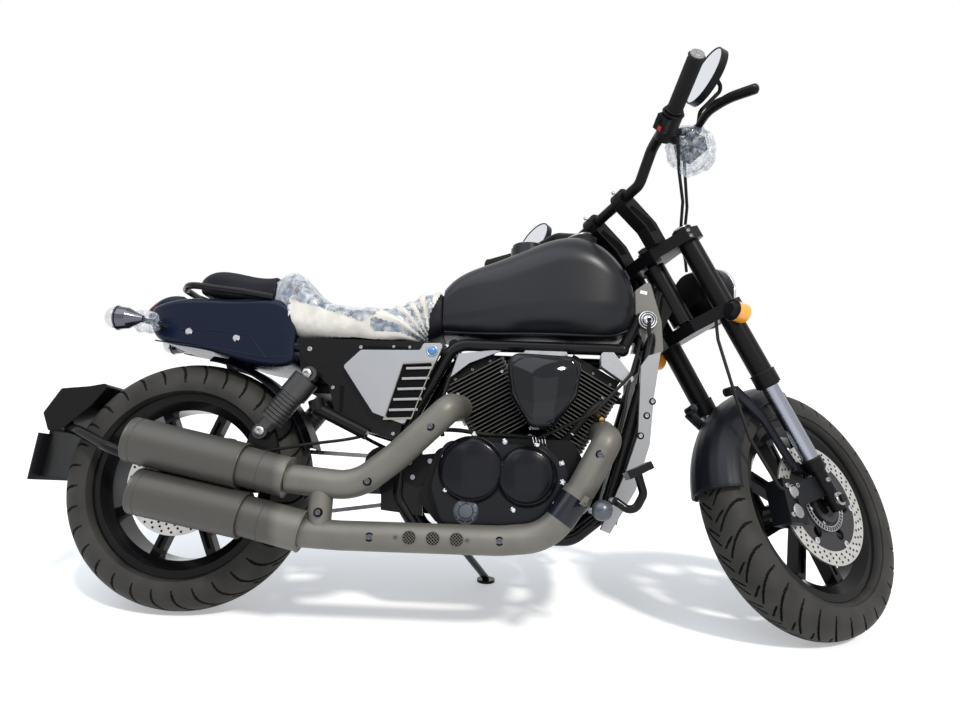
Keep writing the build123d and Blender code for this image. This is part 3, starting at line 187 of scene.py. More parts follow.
EDGE = 0.0018
# the white is painted sheen: the glare of crumpled clear film, put in as colour
CLEAR_BLUE, FILM_SHEEN_WHITE = (0.25, 0.31, 0.42), (0.76, 0.78, 0.80)
LOOKS = {
    "frame_black": dict(color=(0.004, 0.004, 0.0045), rough=0.24, coat=0.1, coat_rough=0.08, specular=0.14,
        rough_spread=0.06, bevel=EDGE),
    "satin_black": dict(color=(0.0045, 0.0045, 0.005), rough=0.34, specular=0.15, rough_spread=0.08,
        bump=0.08, bevel=EDGE),
    "plastic_black": dict(color=(0.0055, 0.006, 0.008), rough=0.42, specular=0.15, rough_spread=0.08,
        bump=0.12, bump_scale=500, bevel=EDGE),
    "tail_paint": dict(color=(0.0038, 0.0064, 0.019), rough=0.28, coat=0.08, coat_rough=0.16, specular=0.14,
        rough_spread=0.05, bevel=0.004),
    "tank_paint": dict(color=(0.0045, 0.005, 0.0075), rough=0.34, coat=0.0, coat_rough=0.3, specular=0.34,
        rough_spread=0.03, bump=0.03, bump_scale=900),
    "chrome": dict(color=(0.55, 0.55, 0.58), rough=0.1, metal=1.0, rough_spread=0.03),
    "dull_steel": dict(color=(0.3, 0.3, 0.31), rough=0.34, metal=1.0, spots=0.12, rough_spread=0.1,
        bevel=0.0008),
    "disc_steel": dict(color=(0.52, 0.51, 0.49), rough=0.34, metal=0.85, spots=0.1, rough_spread=0.08),
    "tyre": dict(color=(0.024, 0.0225, 0.02), rough=0.66, specular=0.3, spots=0.3, spot_scale=14,
        rough_spread=0.12, bump=0.35, bump_scale=350),
    # painted shade: the groove bottoms are darker than the tread, for the shade that falls in the cuts
    "tyre_groove_shade": dict(color=(0.006, 0.0055, 0.005), rough=0.9, specular=0.1),
    "rim": dict(color=(0.004, 0.004, 0.0045), rough=0.2, coat=0.1, specular=0.14, rough_spread=0.05,
        bevel=EDGE),
    "engine": dict(color=(0.0045, 0.0045, 0.0045), rough=0.36, metal=0.0, specular=0.14, rough_spread=0.1,
        bump=0.15, bump_scale=260, bevel=0.0012),
    "engine_gloss": dict(color=(0.003, 0.0035, 0.0055), rough=0.06, coat=0.25, coat_rough=0.03, specular=0.2,
        rough_spread=0.02, bevel=0.004),
    "cover_black": dict(color=(0.0038, 0.0042, 0.0065), rough=0.2, coat=0.08, coat_rough=0.1, specular=0.16,
        rough_spread=0.05, bevel=0.005),
    "exhaust": dict(color=(0.125, 0.118, 0.103), rough=0.46, metal=0.35, spots=0.1, spot_scale=14,
        rough_spread=0.08, bump=0.1, bump_scale=700),
    "leather": dict(color=(0.005, 0.0052, 0.0085), rough=0.5, specular=0.18, rough_spread=0.08, bump=0.5,
        bump_scale=420),
    "silver": dict(color=(0.3, 0.305, 0.32), rough=0.34, metal=0.65, rough_spread=0.06, bevel=EDGE),
    "guard": dict(color=(0.24, 0.243, 0.25), rough=0.38, metal=0.55, rough_spread=0.06, bevel=EDGE),
    "grey_metal": dict(color=(0.085, 0.092, 0.108), rough=0.34, metal=0.75, rough_spread=0.08, bump=0.08,
        bevel=EDGE),
    "warm_grey": dict(color=(0.115, 0.112, 0.102), rough=0.42, metal=0.35, rough_spread=0.08, bevel=0.004),
    "slider_chrome": dict(color=(0.28, 0.29, 0.34), rough=0.2, metal=1.0, rough_spread=0.04, bevel=0.008),
    "fender": dict(color=(0.005, 0.0058, 0.009), rough=0.34, specular=0.25, rough_spread=0.05, bevel=0.014),
    "disc_carrier": dict(color=(0.03, 0.03, 0.033), rough=0.4, metal=0.6, rough_spread=0.06),
    "rubber": dict(color=(0.008, 0.008, 0.007), rough=0.6, specular=0.22, rough_spread=0.1, bump=0.3,
        bump_scale=500),
    "lens": dict(color=(0.92, 0.94, 0.96), rough=0.03, transmission=1.0, ior=1.45),
    "lamp_red": dict(color=(0.28, 0.012, 0.012), rough=0.15, coat=0.8),
    "lamp_body": dict(color=(0.1, 0.1, 0.115), rough=0.14, metal=0.95, rough_spread=0.04),
    "amber": dict(color=(0.9, 0.36, 0.03), rough=0.22, coat=0.6),
    "mirror": dict(color=(0.7, 0.73, 0.78), rough=0.02, metal=1.0),
    "plate": dict(color=(0.008, 0.008, 0.01), rough=0.42, specular=0.22, rough_spread=0.05, bevel=EDGE),
    "film": dict(color=FILM_SHEEN_WHITE, rough=0.14, specular=0.8, coat=0.5, alpha=0.3),
    "seat_film": dict(color=CLEAR_BLUE, rough=0.16, specular=0.7, coat=0.4, alpha=0.5),
    # painted highlight: a pale, nearly opaque layer stands for the whitish glare of the film over the seat's
    # lower part
    "seat_film_highlight": dict(color=(0.6, 0.575, 0.52), rough=0.34, specular=0.3, alpha=0.94, spots=0.12,
        spot_scale=30, bump=0.5, bump_scale=90),
    "cream": dict(color=(0.26, 0.245, 0.21), rough=0.4),
    "blue": dict(color=(0.02, 0.16, 0.42), rough=0.22, coat=0.8),
    "brass": dict(color=(0.45, 0.28, 0.1), rough=0.35, metal=1.0),
    "core": dict(color=(0.03, 0.03, 0.033), rough=0.5, metal=0.6, spots=0.2, spot_scale=120),
    # painted shade: flat black put in holes, slots and recesses and inside the muffler tips, where shade
    # falls
    "hole_painted_shade": dict(color=(0.003, 0.003, 0.003), rough=0.8, specular=0.1),
    "fin_edge": dict(color=(0.1, 0.098, 0.09), rough=0.34, metal=0.85, rough_spread=0.1),
    "glass_black": dict(color=(0.004, 0.004, 0.005), rough=0.04, coat=0.6),
    "reflector": dict(color=(0.85, 0.86, 0.88), rough=0.12, metal=1.0),
    "label": dict(color=(0.75, 0.75, 0.74), rough=0.5),
    "pipe_dark": dict(color=(0.005, 0.006, 0.012), rough=0.22, coat=0.25, specular=0.25),
    "red": dict(color=(0.4, 0.02, 0.02), rough=0.3),
    "clear_lens": dict(color=(0.55, 0.56, 0.55), rough=0.08, metal=0.5, coat=1.0),
}
MAT = {name: shader(name, **look) for name, look in LOOKS.items()}
MUFFLER_FRONT = -0.43           # x where the darker mufflers end
two_tone(MAT["exhaust"], "X", (0.058, 0.055, 0.049), MUFFLER_FRONT, 0.012)
patchy(MAT["film"], 40, (CLEAR_BLUE, FILM_SHEEN_WHITE), (0.10, 0.52))
patchy(MAT["seat_film"], 22, (CLEAR_BLUE, FILM_SHEEN_WHITE), (0.28, 0.66))

NODE_MATERIALS = {
    "frame_black":
        "side_plates rear_reservoir frame subframe swingarm plate_carrier foot_controls side_stand grab_rail",
    "satin_black": "fork handlebar hand_controls headlight fork_feet mirrors risers",
    "fender": "front_fender",
    "plastic_black": "rear_mudguard rear_caliper front_caliper instrument",
    "tank_paint": "fuel_tank fuel_cap", "slider_chrome": "fork_sliders",
    "tyre": "front_tyre rear_tyre", "rim": "front_rim rear_rim", "disc_steel": "front_disc rear_disc",
    "dull_steel": "rear_sprocket drive_chain", "engine": "engine_case cylinders",
        "cover_black": "engine_covers",
    "engine_gloss": "air_cleaner", "exhaust": "exhaust_upper exhaust_lower",
        "leather": "rider_seat pillion_seat",
    "silver": "side_panels engine_trim coil_cover", "guard": "radiator_guards",
        "warm_grey": "headstock_covers",
    "core": "radiator", "rubber": "grips bar_cables brake_hose clutch_cable",
    "lens": "headlight_lens", "tail_paint": "tail_cover rear_lamps", "amber": "front_indicators",
    "plate": "number_plate",
}
for material_name, names in NODE_MATERIALS.items():
    for node_name in names.split():
        node = NODES[node_name]
        for slot_number in range(len(node.material_slots)):
            node.material_slots[slot_number].material = MAT[material_name]


def repaint(node_name, place, material_name, chosen):
    """Gives another material to the faces of one piece that are chosen by their middle and normal."""
    mesh = NODES[node_name].data
    mesh.materials.append(MAT[material_name])
    back = place.inverted()
    for face in mesh.polygons:
        if chosen(back @ face.center, back.to_3x3() @ face.normal):
            face.material_index = len(mesh.materials) - 1


repaint("rear_lamps", BIKE, "lamp_red", lambda middle, normal: abs(middle.y) <= 0.09 and normal.x < -0.35)
repaint("rear_lamps", BIKE, "lamp_body", lambda middle, normal: abs(middle.y) > 0.09)
repaint("risers", STEERED, "grey_metal", lambda middle, normal: normal.dot(STEER_AHEAD) > 0.4)
for disc_node, place, axle, carrier in (("front_disc", STEERED, FRONT_AXLE, 0.1158),
        ("rear_disc", BIKE, REAR_AXLE, 0.0918)):
    repaint(disc_node, place, "disc_carrier", lambda middle,
        normal: hypot(middle.x - axle.x, middle.z - axle.z) < carrier)

# ------------------------------------------------------------------ shapes
MM = 0.001


def up_to(direction):
    """A rotation that takes +Z to a direction."""
    return Vector(direction).normalized().to_track_quat("Z", "Y").to_matrix().to_4x4()


class Shapes:
    """Simple solids gathered into one mesh, in metres on the upright machine."""

    def __init__(self):
        self.points = []
        self.faces = []

    def add(self, points, faces):
        start = len(self.points)
        self.points += [Vector(point) for point in points]
        self.faces += [tuple(start + index for index in face) for face in faces]

    def box(self, centre, size, turn=None):
        turn = turn or Matrix.Identity(4)
        corners = [Vector(centre) + turn @ Vector([s * h / 2 for s, h in zip(signs, size)])
            for signs in ((-1, -1, -1), (1, -1, -1), (1, 1, -1), (-1, 1, -1), (-1, -1, 1), (1, -1, 1),
            (1, 1, 1), (-1, 1, 1))]
        self.add(corners, [(3, 2, 1, 0), (4, 5, 6, 7), (0, 1, 5, 4), (1, 2, 6, 5), (2, 3, 7, 6),
            (3, 0, 4, 7)])

    def lathe(self, base, axis, profile, sides=16):
        """A closed form of turned (radius, along) corners about an axis from base."""
        turn = up_to(axis)
        rings = []
        for radius, along in profile:
            rings.append([Vector(base)
                + turn @ Vector((radius * cos(2 * pi * k / sides), radius * sin(2 * pi * k / sides), along))
                for k in range(sides)])
        self.rows(rings)

    def rows(self, rings):
        """A closed form through rings that have the same number of corners."""
        around, last = len(rings[0]), len(rings) - 1
        faces = [(row * around + k, row * around + (k + 1) % around, (row + 1) * around + (k + 1) % around,
            (row + 1) * around + k) for row in range(last) for k in range(around)]
        faces.append(tuple(reversed(range(around))))
        faces.append(tuple(last * around + k for k in range(around)))
        self.add([point for ring in rings for point in ring], faces)

    def rod(self, start, end, radius, end_radius=None, sides=20):
        axis = Vector(end) - Vector(start)
        self.lathe(start, axis, [(radius, 0), (radius if end_radius is None else end_radius, axis.length)],
            sides)

    def bolt(self, base, axis, radius, height):
        """A round-headed bolt with a socket in its head."""
        self.lathe(base, axis, [(radius, -height * 0.4), (radius, height * 0.7), (radius * 0.82, height),
            (radius * 0.5, height), (radius * 0.46, height * 0.45)], 16)

    def ring(self, centre, axis, major, minor, around=56, section=8):
        """A torus."""
        turn = up_to(axis)
        points, faces = [], []
        for a in range(around):
            out = Vector((cos(2 * pi * a / around), sin(2 * pi * a / around), 0))
            for s in range(section):
                turn_by = 2 * pi * s / section
                points.append(Vector(centre) + turn @ (out * (major + minor * cos(turn_by))
                    + Vector((0, 0, minor * sin(turn_by)))))
        for a in range(around):
            for s in range(section):
                b, t = (a + 1) % around, (s + 1) % section
                faces.append((a * section + s, b * section + s, b * section + t, a * section + t))
        self.add(points, faces)

    def tube(self, path, radius, sides=10):
        """A round bar along points, smooth enough to follow them as they are."""
        path = [Vector(point) for point in path]
        rings = []
        side = None
        for number, point in enumerate(path):
            ahead = path[min(number + 1, len(path) - 1)] - path[max(number - 1, 0)]
            ahead.normalize()
            if side is None:
                side = ahead.orthogonal().normalized()
            side = (side - ahead * side.dot(ahead)).normalized()
            other = ahead.cross(side)
            thick = radius[number] if isinstance(radius, list) else radius
            rings.append([point + side * thick * cos(2 * pi * k / sides)
                + other * thick * sin(2 * pi * k / sides) for k in range(sides)])
        self.rows(rings)

    def slab(self, outline, y_from, y_to):
        """A side-view outline of (x, z) corners in mm, from one y to another."""
        count = len(outline)
        points = [Vector((x, y_from, z)) * MM for x, z in outline] + [Vector((x, y_to, z)) * MM for x,
            z in outline]
        faces = [tuple(range(count)), tuple(reversed(range(count, 2 * count)))]
        for k in range(count):
            nxt = (k + 1) % count
            faces.append((k, k + count, nxt + count, nxt))
        self.add(points, faces)

    def done(self, name, material, body, smooth=40):
        """Makes the piece, sets it in place on the parked machine, and lets it ride on its body."""
        mesh = bpy.data.meshes.new(name)
        mesh.from_pydata([tuple(point) for point in self.points], [], self.faces)
        turn = bmesh.new()
        turn.from_mesh(mesh)
        bmesh.ops.recalc_face_normals(turn, faces=turn.faces)
        turn.to_mesh(mesh)
        turn.free()
        mesh.shade_smooth()
        mesh.set_sharp_from_angle(angle=radians(smooth))
        mesh.materials.append(MAT[material])
        piece = bpy.data.objects.new(name, mesh)
        bpy.context.scene.collection.objects.link(piece)
        mesh.transform(PLACES[body])
        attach(piece, body)
        return piece


PLACES = {"root": BIKE, "rear_wheel": BIKE, "side_stand": BIKE, "fuel_cap": BIKE, "steering": STEERED,
    "front_wheel": STEERED}


def at(x, y, z):
    """A place on the upright machine, from mm."""
    return Vector((x, y, z)) * MM


RIGHT = Vector((0, -1, 0))
LEFT = Vector((0, 1, 0))


def divided(corners, parts):
    """Points along straight runs between corners, with each run in equal parts."""
    line = [first.lerp(second, part / parts) for first, second in zip(corners, corners[1:])
        for part in range(parts)]
    return line + [corners[-1]]


def evened(line, sweeps, weight):
    """A row of points rounded by mixing each with its two neighbours, with its own weight against their 1."""
    for sweep in range(sweeps):
        inner = [(line[k - 1] + line[k] * weight + line[k + 1]) / (weight + 2)
            for k in range(1, len(line) - 1)]
        line = [line[0]] + inner + [line[-1]]
    return line


def grown(outline, by):
    """An outline moved out from its middle by a share of its size."""
    middle = (sum(x for x, z in outline) / len(outline), sum(z for x, z in outline) / len(outline))
    return [(middle[0] + (x - middle[0]) * by, middle[1] + (z - middle[1]) * by) for x, z in outline]


# ------------------------------------------------------------------ tyres
TREAD_STEPS = 1080
BEAD_RADIUS = 0.2165
GROOVE_DEPTH = 0.0048
# pitch and shift round the tyre in degrees, reach from the middle to the shoulder, slant, half width
TREAD = [(11.25, 0, 0.10, 1.13, 15, 0.0023), (11.25, 5.6, 0.02, 0.50, 9, 0.0019)]


def groove(angle, across):
    """Depth of the tread's cuts at an angle in degrees, and across the crown from -1 to 1."""
    side = abs(across)
    deepest = 0.0
    for pitch, shift, low, high, slant, half in TREAD:
        if not low < side < high:
            continue
        line = shift + slant * (side - 0.12 * side ** 3) + (pitch / 2 if across < 0 else 0)
        off = (angle - line) % pitch
        gap = min(off, pitch - off) * pi / 180 * TYRE_RADIUS
        ends = min(1.0, (side - low) * 18, (high - side) * 18)
        deepest = max(deepest, min(1.0, max(0.0, (half - gap) / 0.0012)) * ends)
    return GROOVE_DEPTH * deepest


def tyre_section(width, rim_width):
    """(y, radius, crown) across a tyre from bead to bead; crown is -1 to 1 on the tread, else None."""
    crown_half = 0.47 * width
    drop_all = 0.30 * (TYRE_RADIUS - BEAD_RADIUS) * width / 0.120
    section = []
    crown_count = 46
    for step in range(crown_count + 1):
        across = -1 + 2 * step / crown_count
        drop = drop_all * (1 - sqrt(1 - (0.97 * across) ** 2)) / (1 - sqrt(1 - 0.97 ** 2))
        section.append((crown_half * across, TYRE_RADIUS - drop, across))
    edge = TYRE_RADIUS - drop_all
    wall = [(0.50, edge - 0.010), (0.512, edge - 0.020), (0.512, edge - 0.030), (0.500, edge - 0.040),
        (0.506, edge - 0.0415), (0.498, edge - 0.043), (0.468, 0.2395), (0.472, 0.2372), (0.452, 0.2345)]
    wall = [(part * width, radius) for part, radius in wall if radius > 0.2335]
    wall += [(rim_width / 2 + 0.0015, 0.2296), (rim_width / 2 - 0.0065, 0.2290),
        (rim_width / 2 - 0.0065, BEAD_RADIUS)]
    beyond = [1.04, 1.12] + [None] * (len(wall) - 2)
    left = [(y, radius, across) for (y, radius), across in zip(wall, beyond)]
    right = [(-y, radius, across and -across) for y, radius, across in reversed(left)]
    return right + section + left


def tyre(name, node, body, axle, width, rim_width):
    section = tyre_section(width, rim_width)
    points, faces, cut = [], [], []
    rows = len(section)
    for step in range(TREAD_STEPS):
        angle = 360 * step / TREAD_STEPS
        for y, radius, across in section:
            deep = 0 if across is None else groove(angle, across)
            reach = radius - deep
            points.append(axle + Vector((reach * sin(radians(angle)), y, reach * cos(radians(angle)))))
            cut.append(deep > GROOVE_DEPTH * 0.3)
    for step in range(TREAD_STEPS):
        nxt = (step + 1) % TREAD_STEPS
        for row in range(rows):
            beyond = (row + 1) % rows
            faces.append((step * rows + row, step * rows + beyond, nxt * rows + beyond, nxt * rows + row))
    shapes = Shapes()
    shapes.add(points, faces)
    piece = shapes.done(name, "tyre", body, 30)
    # faces in the cuts get the darker groove colour, painted shade
    piece.data.materials.append(MAT["tyre_groove_shade"])
    for face in piece.data.polygons:
        if any(cut[corner] for corner in face.vertices):
            face.material_index = 1
    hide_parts(node)


tyre("front_tyre_treaded", "front_tyre", "front_wheel", FRONT_AXLE, 0.120, 0.084)
tyre("rear_tyre_treaded", "rear_tyre", "rear_wheel", REAR_AXLE, 0.160, 0.118)


# ------------------------------------------------------------------ brake discs and hubs
def round_about(axle, radius, angle, y):
    """A place on a wheel's side, at an angle in degrees from the top."""
    return axle + Vector((radius * sin(radians(angle)), y, radius * cos(radians(angle))))


def disc_dress(name, body, axle, radius, offset, holes):
    """Drilled holes, carrier bolts and a toothed ring for one brake disc on the right of its wheel."""
    outer = -(offset + 0.0025)
    # the drilled holes are black dots of painted shade
    drilled = Shapes()
    for row, reach in enumerate((radius - 0.008, radius - 0.017, radius - 0.026)):
        for number in range(holes):
            angle = (number + row * 0.34) * 360 / holes
            spot = round_about(axle, reach, angle, outer)
            drilled.rod(spot - RIGHT * 0.0002, spot + RIGHT * 0.0003, 0.0031, sides=10)
    drilled.done(name + "_drilled_hole_shade", "hole_painted_shade", body)
    bolts = Shapes()
    for number in range(6):
        spot = round_about(axle, radius - 0.041, number * 60 + 30, outer)
        bolts.bolt(spot, RIGHT, 0.008, 0.004)
        spot = round_about(axle, 0.046, number * 60 + 12, -(offset + 0.002))
        bolts.bolt(spot, RIGHT, 0.0065, 0.004)
    bolts.done(name + "_bolts", "chrome", body)
    teeth = Shapes()
    tooth_y = -(offset + 0.0060)
    teeth.ring(axle + Vector((0, tooth_y, 0)), RIGHT, 0.068, 0.0012)
    teeth.ring(axle + Vector((0, tooth_y, 0)), RIGHT, 0.057, 0.0016)
    for number in range(44):
        angle = number * 360 / 44
        turn = Matrix.Rotation(radians(angle), 4, "Y")
        teeth.box(round_about(axle, 0.0625, angle, tooth_y), (0.0034, 0.0016, 0.011), turn)
    teeth.done(name + "_toothed_ring", "dull_steel", body)


disc_dress("front_disc", "front_wheel", FRONT_AXLE, 0.149, 0.068, 36)
disc_dress("rear_disc", "rear_wheel", REAR_AXLE, 0.125, 0.086, 30)

hub = Shapes()
for y, direction in ((-0.1235, RIGHT), (0.1235, LEFT)):
    hub.lathe(FRONT_AXLE + Vector((0, y * 0.98, 0)), direction,
        [(0.016, -0.004), (0.016, 0.002), (0.013, 0.004), (0.008, 0.004), (0.007, 0.001)], 24)
hub.done("front_axle_ends", "dull_steel", "steering")
rear_nut = Shapes()
for sign in (-1, 1):
    rear_nut.lathe(REAR_AXLE + Vector((0, sign * 0.146, 0)), (0, sign, 0),
        [(0.019, 0), (0.019, 0.003), (0.0145, 0.003), (0.0145, 0.013), (0.012, 0.015)], 6)
    rear_nut.box(REAR_AXLE + Vector((-0.03, sign * 0.1455, 0)), (0.09, 0.004, 0.034))
rear_nut.done("rear_axle_nuts", "dull_steel", "root")
for name, axle in (("front", FRONT_AXLE), ("rear", REAR_AXLE)):
    valve = Shapes()
    valve.rod(round_about(axle, 0.2065, 77, -0.012), round_about(axle, 0.178, 77, -0.022), 0.0035)
    valve.done(name + "_valve", "rubber", name + "_wheel")

# ------------------------------------------------------------------ fork, clamps and headlight
fork_trim = Shapes()
fork_seals = Shapes()
for sign in (-1, 1):
    out = sign * FORK_SPREAD
    fork_trim.lathe(on_fork(1.101, out), STEER_UP, [(0.024, 0), (0.024, 0.004), (0.020, 0.007),
        (0.013, 0.007), (0.012, 0.003)], 24)
    for height in (1.068, 1.084):
        spot = on_fork(height, sign * (FORK_SPREAD + 0.0345), 0.012)
        fork_trim.bolt(spot, (0, sign, 0), 0.005, 0.004)
    for height in (0.853, 0.869):
        spot = on_fork(height, sign * (FORK_SPREAD + 0.0345), 0.006)
        fork_trim.bolt(spot, (0, sign, 0), 0.005, 0.004)
    fork_seals.ring(on_fork(0.6445, out), STEER_UP, 0.0232, 0.0035)
    fork_seals.ring(on_fork(0.6800, out), STEER_UP, 0.0300, 0.0022)
    fork_seals.ring(on_fork(0.4410, out), STEER_UP, 0.0215, 0.0025)
fork_trim.lathe(on_fork(1.100, 0, 0), STEER_UP, [(0.022, 0), (0.022, 0.003), (0.017, 0.003), (0.017, 0.013),
    (0.014, 0.015)], 6)
fork_trim.done("fork_bolts", "dull_steel", "steering")
fork_seals.done("fork_seals", "rubber", "steering")

LAMP_BACK, LAMP_FRONT = 0.078, 0.172
lamp_middle = on_fork(0.965, 0, LAMP_BACK)
rim_x = lamp_middle.x + LAMP_FRONT - LAMP_BACK
lamp_face = Vector((rim_x, 0, lamp_middle.z))
bezel = Shapes()
bezel.ring(lamp_face, (1, 0, 0), 0.0835, 0.0038, 72, 12)
bezel.done("headlight_bezel", "chrome", "steering")
bowl = Shapes()
bowl.lathe(lamp_face + Vector((0.0008, 0, 0)), (1, 0, 0), [(0.080, 0), (0.080, 0.0006), (0.068, 0.004),
    (0.030, 0.006), (0.028, 0.012), (0.010, 0.014)], 48)
bowl.done("headlight_reflector", "reflector", "steering")

# ------------------------------------------------------------------ handlebar, grips, risers and mirrors
BAR_HALF = [(1.238, 0.128, -0.060), (1.290, 0.205, -0.052), (1.303, 0.319, -0.090), (1.350, 0.447, -0.118)]
GRIP_LENGTH = 0.136
grip_ribs = Shapes()
bar_ends = Shapes()
switch_trim = Shapes()
switch_red = Shapes()
lever_blades = Shapes()
LEVER = [(1.276, 0.290, 0.020), (1.286, 0.345, 0.006), (1.272, 0.410, -0.006), (1.245, 0.470, -0.010)]
for sign in (-1, 1):
    inner, end = [on_fork(height, sign * out, ahead) for height, out, ahead in BAR_HALF[-2:]]
    along = (end - inner).normalized()
    start = end + along * 0.006 - along * GRIP_LENGTH
    for number in range(38):
        grip_ribs.ring(start + along * (0.010 + number * 0.0031), along, 0.0180, 0.0009, 28, 6)
    grip_ribs.ring(start + along * 0.003, along, 0.0190, 0.0030, 28, 8)
    grip_ribs.ring(end + along * 0.004, along, 0.0178, 0.0024, 28, 8)
    bar_ends.lathe(end + along * 0.005, along, [(0.0165, 0), (0.0165, 0.004), (0.0145, 0.0075),
        (0.005, 0.0075), (0.004, 0.005)], 28)
    box_start = end + along * 0.006 - along * (GRIP_LENGTH + 0.053)
    for place in (0.004, 0.048):
        switch_trim.ring(box_start + along * place, along, 0.0252, 0.0016, 32, 8)
    back = STEER_AHEAD * -1
    back = (back - along * back.dot(along)).normalized()
    top = along.cross(back) * (1 if sign > 0 else -1)
    if top.z < 0:
        top = -top
    turn = Matrix((back, along, top)).transposed().to_4x4()
    switch_trim.box(box_start + along * 0.026 + back * 0.018, (0.030, 0.038, 0.034), turn)
    switch_trim.box(box_start + along * 0.030 + back * 0.034 + top * 0.008, (0.008, 0.010, 0.012), turn)
    switch_red.box(box_start + along * 0.018 + back * 0.0345 - top * 0.004, (0.006, 0.011, 0.009), turn)
    bar_ends.bolt(box_start + along * 0.030 + top * 0.0245, top, 0.004, 0.003)
    blade = [on_fork(height, sign * out, ahead) for height, out, ahead in LEVER]
    smooth = evened(divided(blade, 6), 4, 2)
    radii = [0.0085 + 0.0035 * min(1.0, k / 12) for k in range(len(smooth))]
    lever_blades.tube(smooth, radii, 14)
    lever_blades.lathe(blade[3], blade[3] - smooth[-2], [(0.012, -0.004), (0.0115, 0.004), (0.008, 0.0075),
        (0.003, 0.009)], 14)
grip_ribs.done("grip_ribs", "rubber", "steering")
bar_ends.done("bar_end_weights", "dull_steel", "steering")
switch_trim.done("switch_housings", "satin_black", "steering")
switch_red.done("switch_buttons", "red", "steering")
lever_blades.done("lever_blades", "satin_black", "steering")

# the slots in the risers are black slabs of painted shade
riser_slot_shade = Shapes()
riser_bolts = Shapes()
slot_corners = [(1.128, -0.040), (1.150, -0.041), (1.206, -0.070), (1.212, -0.056), (1.160, -0.018),
    (1.128, -0.014)]
for sign in (-1, 1):
    for face in (-1, 1):
        y = sign * 60 + face * 17.0
        outline = [(p.x / MM, p.z / MM) for p in (on_fork(h, 0, a) for h, a in slot_corners)]
        riser_slot_shade.slab(outline, y - face * 0.4, y + face * 0.5)
    for side in (-1, 1):
        riser_bolts.bolt(on_fork(1.2625, sign * 0.060, -0.060 + side * 0.018), STEER_UP, 0.0045, 0.005)
riser_slot_shade.done("riser_slot_shade", "hole_painted_shade", "steering")
riser_bolts.done("riser_bolts", "dull_steel", "steering")

MIRROR_HEAD, MIRROR_FACE = Vector((1.066, 0.372, 1.223)), Vector((-0.949, -0.143, 0.283)).normalized()
mirror_glass = Shapes()
mirror_rims = Shapes()
for sign in (-1, 1):
    head = Vector((MIRROR_HEAD.x, sign * MIRROR_HEAD.y, MIRROR_HEAD.z))
    face = Vector((MIRROR_FACE.x, sign * MIRROR_FACE.y, MIRROR_FACE.z))
    mirror_glass.lathe(head - face * 0.0005, face, [(0.066, 0), (0.066, 0.0010)], 64)
    mirror_rims.ring(head + face * 0.0004, face, 0.0682, 0.0022, 72, 8)
mirror_glass.done("mirror_glass", "mirror", "steering")
mirror_rims.done("mirror_rims", "satin_black", "steering")

# ------------------------------------------------------------------ tank, instrument and cap
TANK_LIP = [(640, 96, 716, 46), (742, 122, 708, 66), (880, 140, 708, 84), (1010, 146, 706, 90),
    (1075, 134, 712, 88), (1108, 112, 730, 70)]
lip = Shapes()
for sign in (-1, 1):
    corners = [at(x, sign * (half - corner * 0.50), low + corner * 0.135) for x, half, low,
        corner in TANK_LIP]
    lip.tube(evened(divided(corners, 6), 6, 2), 0.0042)
lip.done("tank_seam", "tank_paint", "root")
CAP_CENTRE = at(850, 0, 983.3)
cap = Shapes()
cap.ring(CAP_CENTRE, (0, 0, 1), 0.0395, 0.0020)
cap.lathe(CAP_CENTRE, (0, 0, 1), [(0.034, -0.001), (0.034, 0.001), (0.031, 0.0022)], 48)
cap.done("cap_trim", "dull_steel", "fuel_cap")
keyhole = Shapes()
keyhole.lathe(CAP_CENTRE + at(0, 0, 2.0), (0, 0, 1), [(0.011, 0), (0.011, 0.002), (0.009, 0.003)], 24)
keyhole.done("cap_lock", "satin_black", "fuel_cap")
GAUGE_MIDDLE, GAUGE_FACE = at(985, 0, 1010), Vector((-0.28, 0, 0.96)).normalized()
gauge = Shapes()
gauge.ring(GAUGE_MIDDLE + GAUGE_FACE * 0.001, GAUGE_FACE, 0.037, 0.0030, 64, 10)
gauge.done("gauge_rim", "dull_steel", "root")
gauge = Shapes()
gauge.lathe(GAUGE_MIDDLE - GAUGE_FACE * 0.004, GAUGE_FACE,
    [(0.0365, -0.004), (0.0365, 0.0035), (0.034, 0.0050)], 56)
gauge.done("gauge_glass", "glass_black", "root")
ticks = Shapes()
for number in range(25):
    angle = radians(-120 + number * 10)
    turn = up_to(GAUGE_FACE)
    long = 0.006 if number % 4 == 0 else 0.0035
    spot = GAUGE_MIDDLE + turn @ Vector((0.029 * sin(angle), 0.029 * cos(angle), 0.0013))
    ticks.box(spot, (0.0008, long, 0.0004), turn @ Matrix.Rotation(-angle, 4, "Z"))
ticks.done("gauge_ticks", "label", "root")

# ------------------------------------------------------------------ engine
BORE_MIDDLE = at(868, 0, 362)
fin_edges = Shapes()
for lean in (-30, 30):
    turn = Matrix.Rotation(radians(lean), 4, "Y")
    for number in range(19):
        inset = 12 if number < 9 else 0
        depth, width = 168 - inset, 186 - inset
        height = 118 + number * 9.6 + 2
        for sign in (-1, 1):
            middle = BORE_MIDDLE + turn @ at(0, sign * (width / 2 + 0.1), height)
            fin_edges.box(middle, (depth * MM, 0.0008, 0.0014), turn)
fin_edges.done("fin_edges", "fin_edge", "root")
head_bolts = Shapes()
for lean in (-30, 30):
    turn = Matrix.Rotation(radians(lean), 4, "Y")
    for sign in (-1, 1):
        for x in (-62, 62):
            spot = BORE_MIDDLE + turn @ at(x, sign * 93, 262)
            head_bolts.bolt(spot, (0, sign, 0), 0.0045, 0.004)
        for x, height in ((-50, 316), (0, 318), (50, 316)):
            spot = BORE_MIDDLE + turn @ at(x, sign * 76, height - 14)
            head_bolts.bolt(spot, (0, sign, 0), 0.0036, 0.003)
head_bolts.done("head_bolts", "dull_steel", "root")

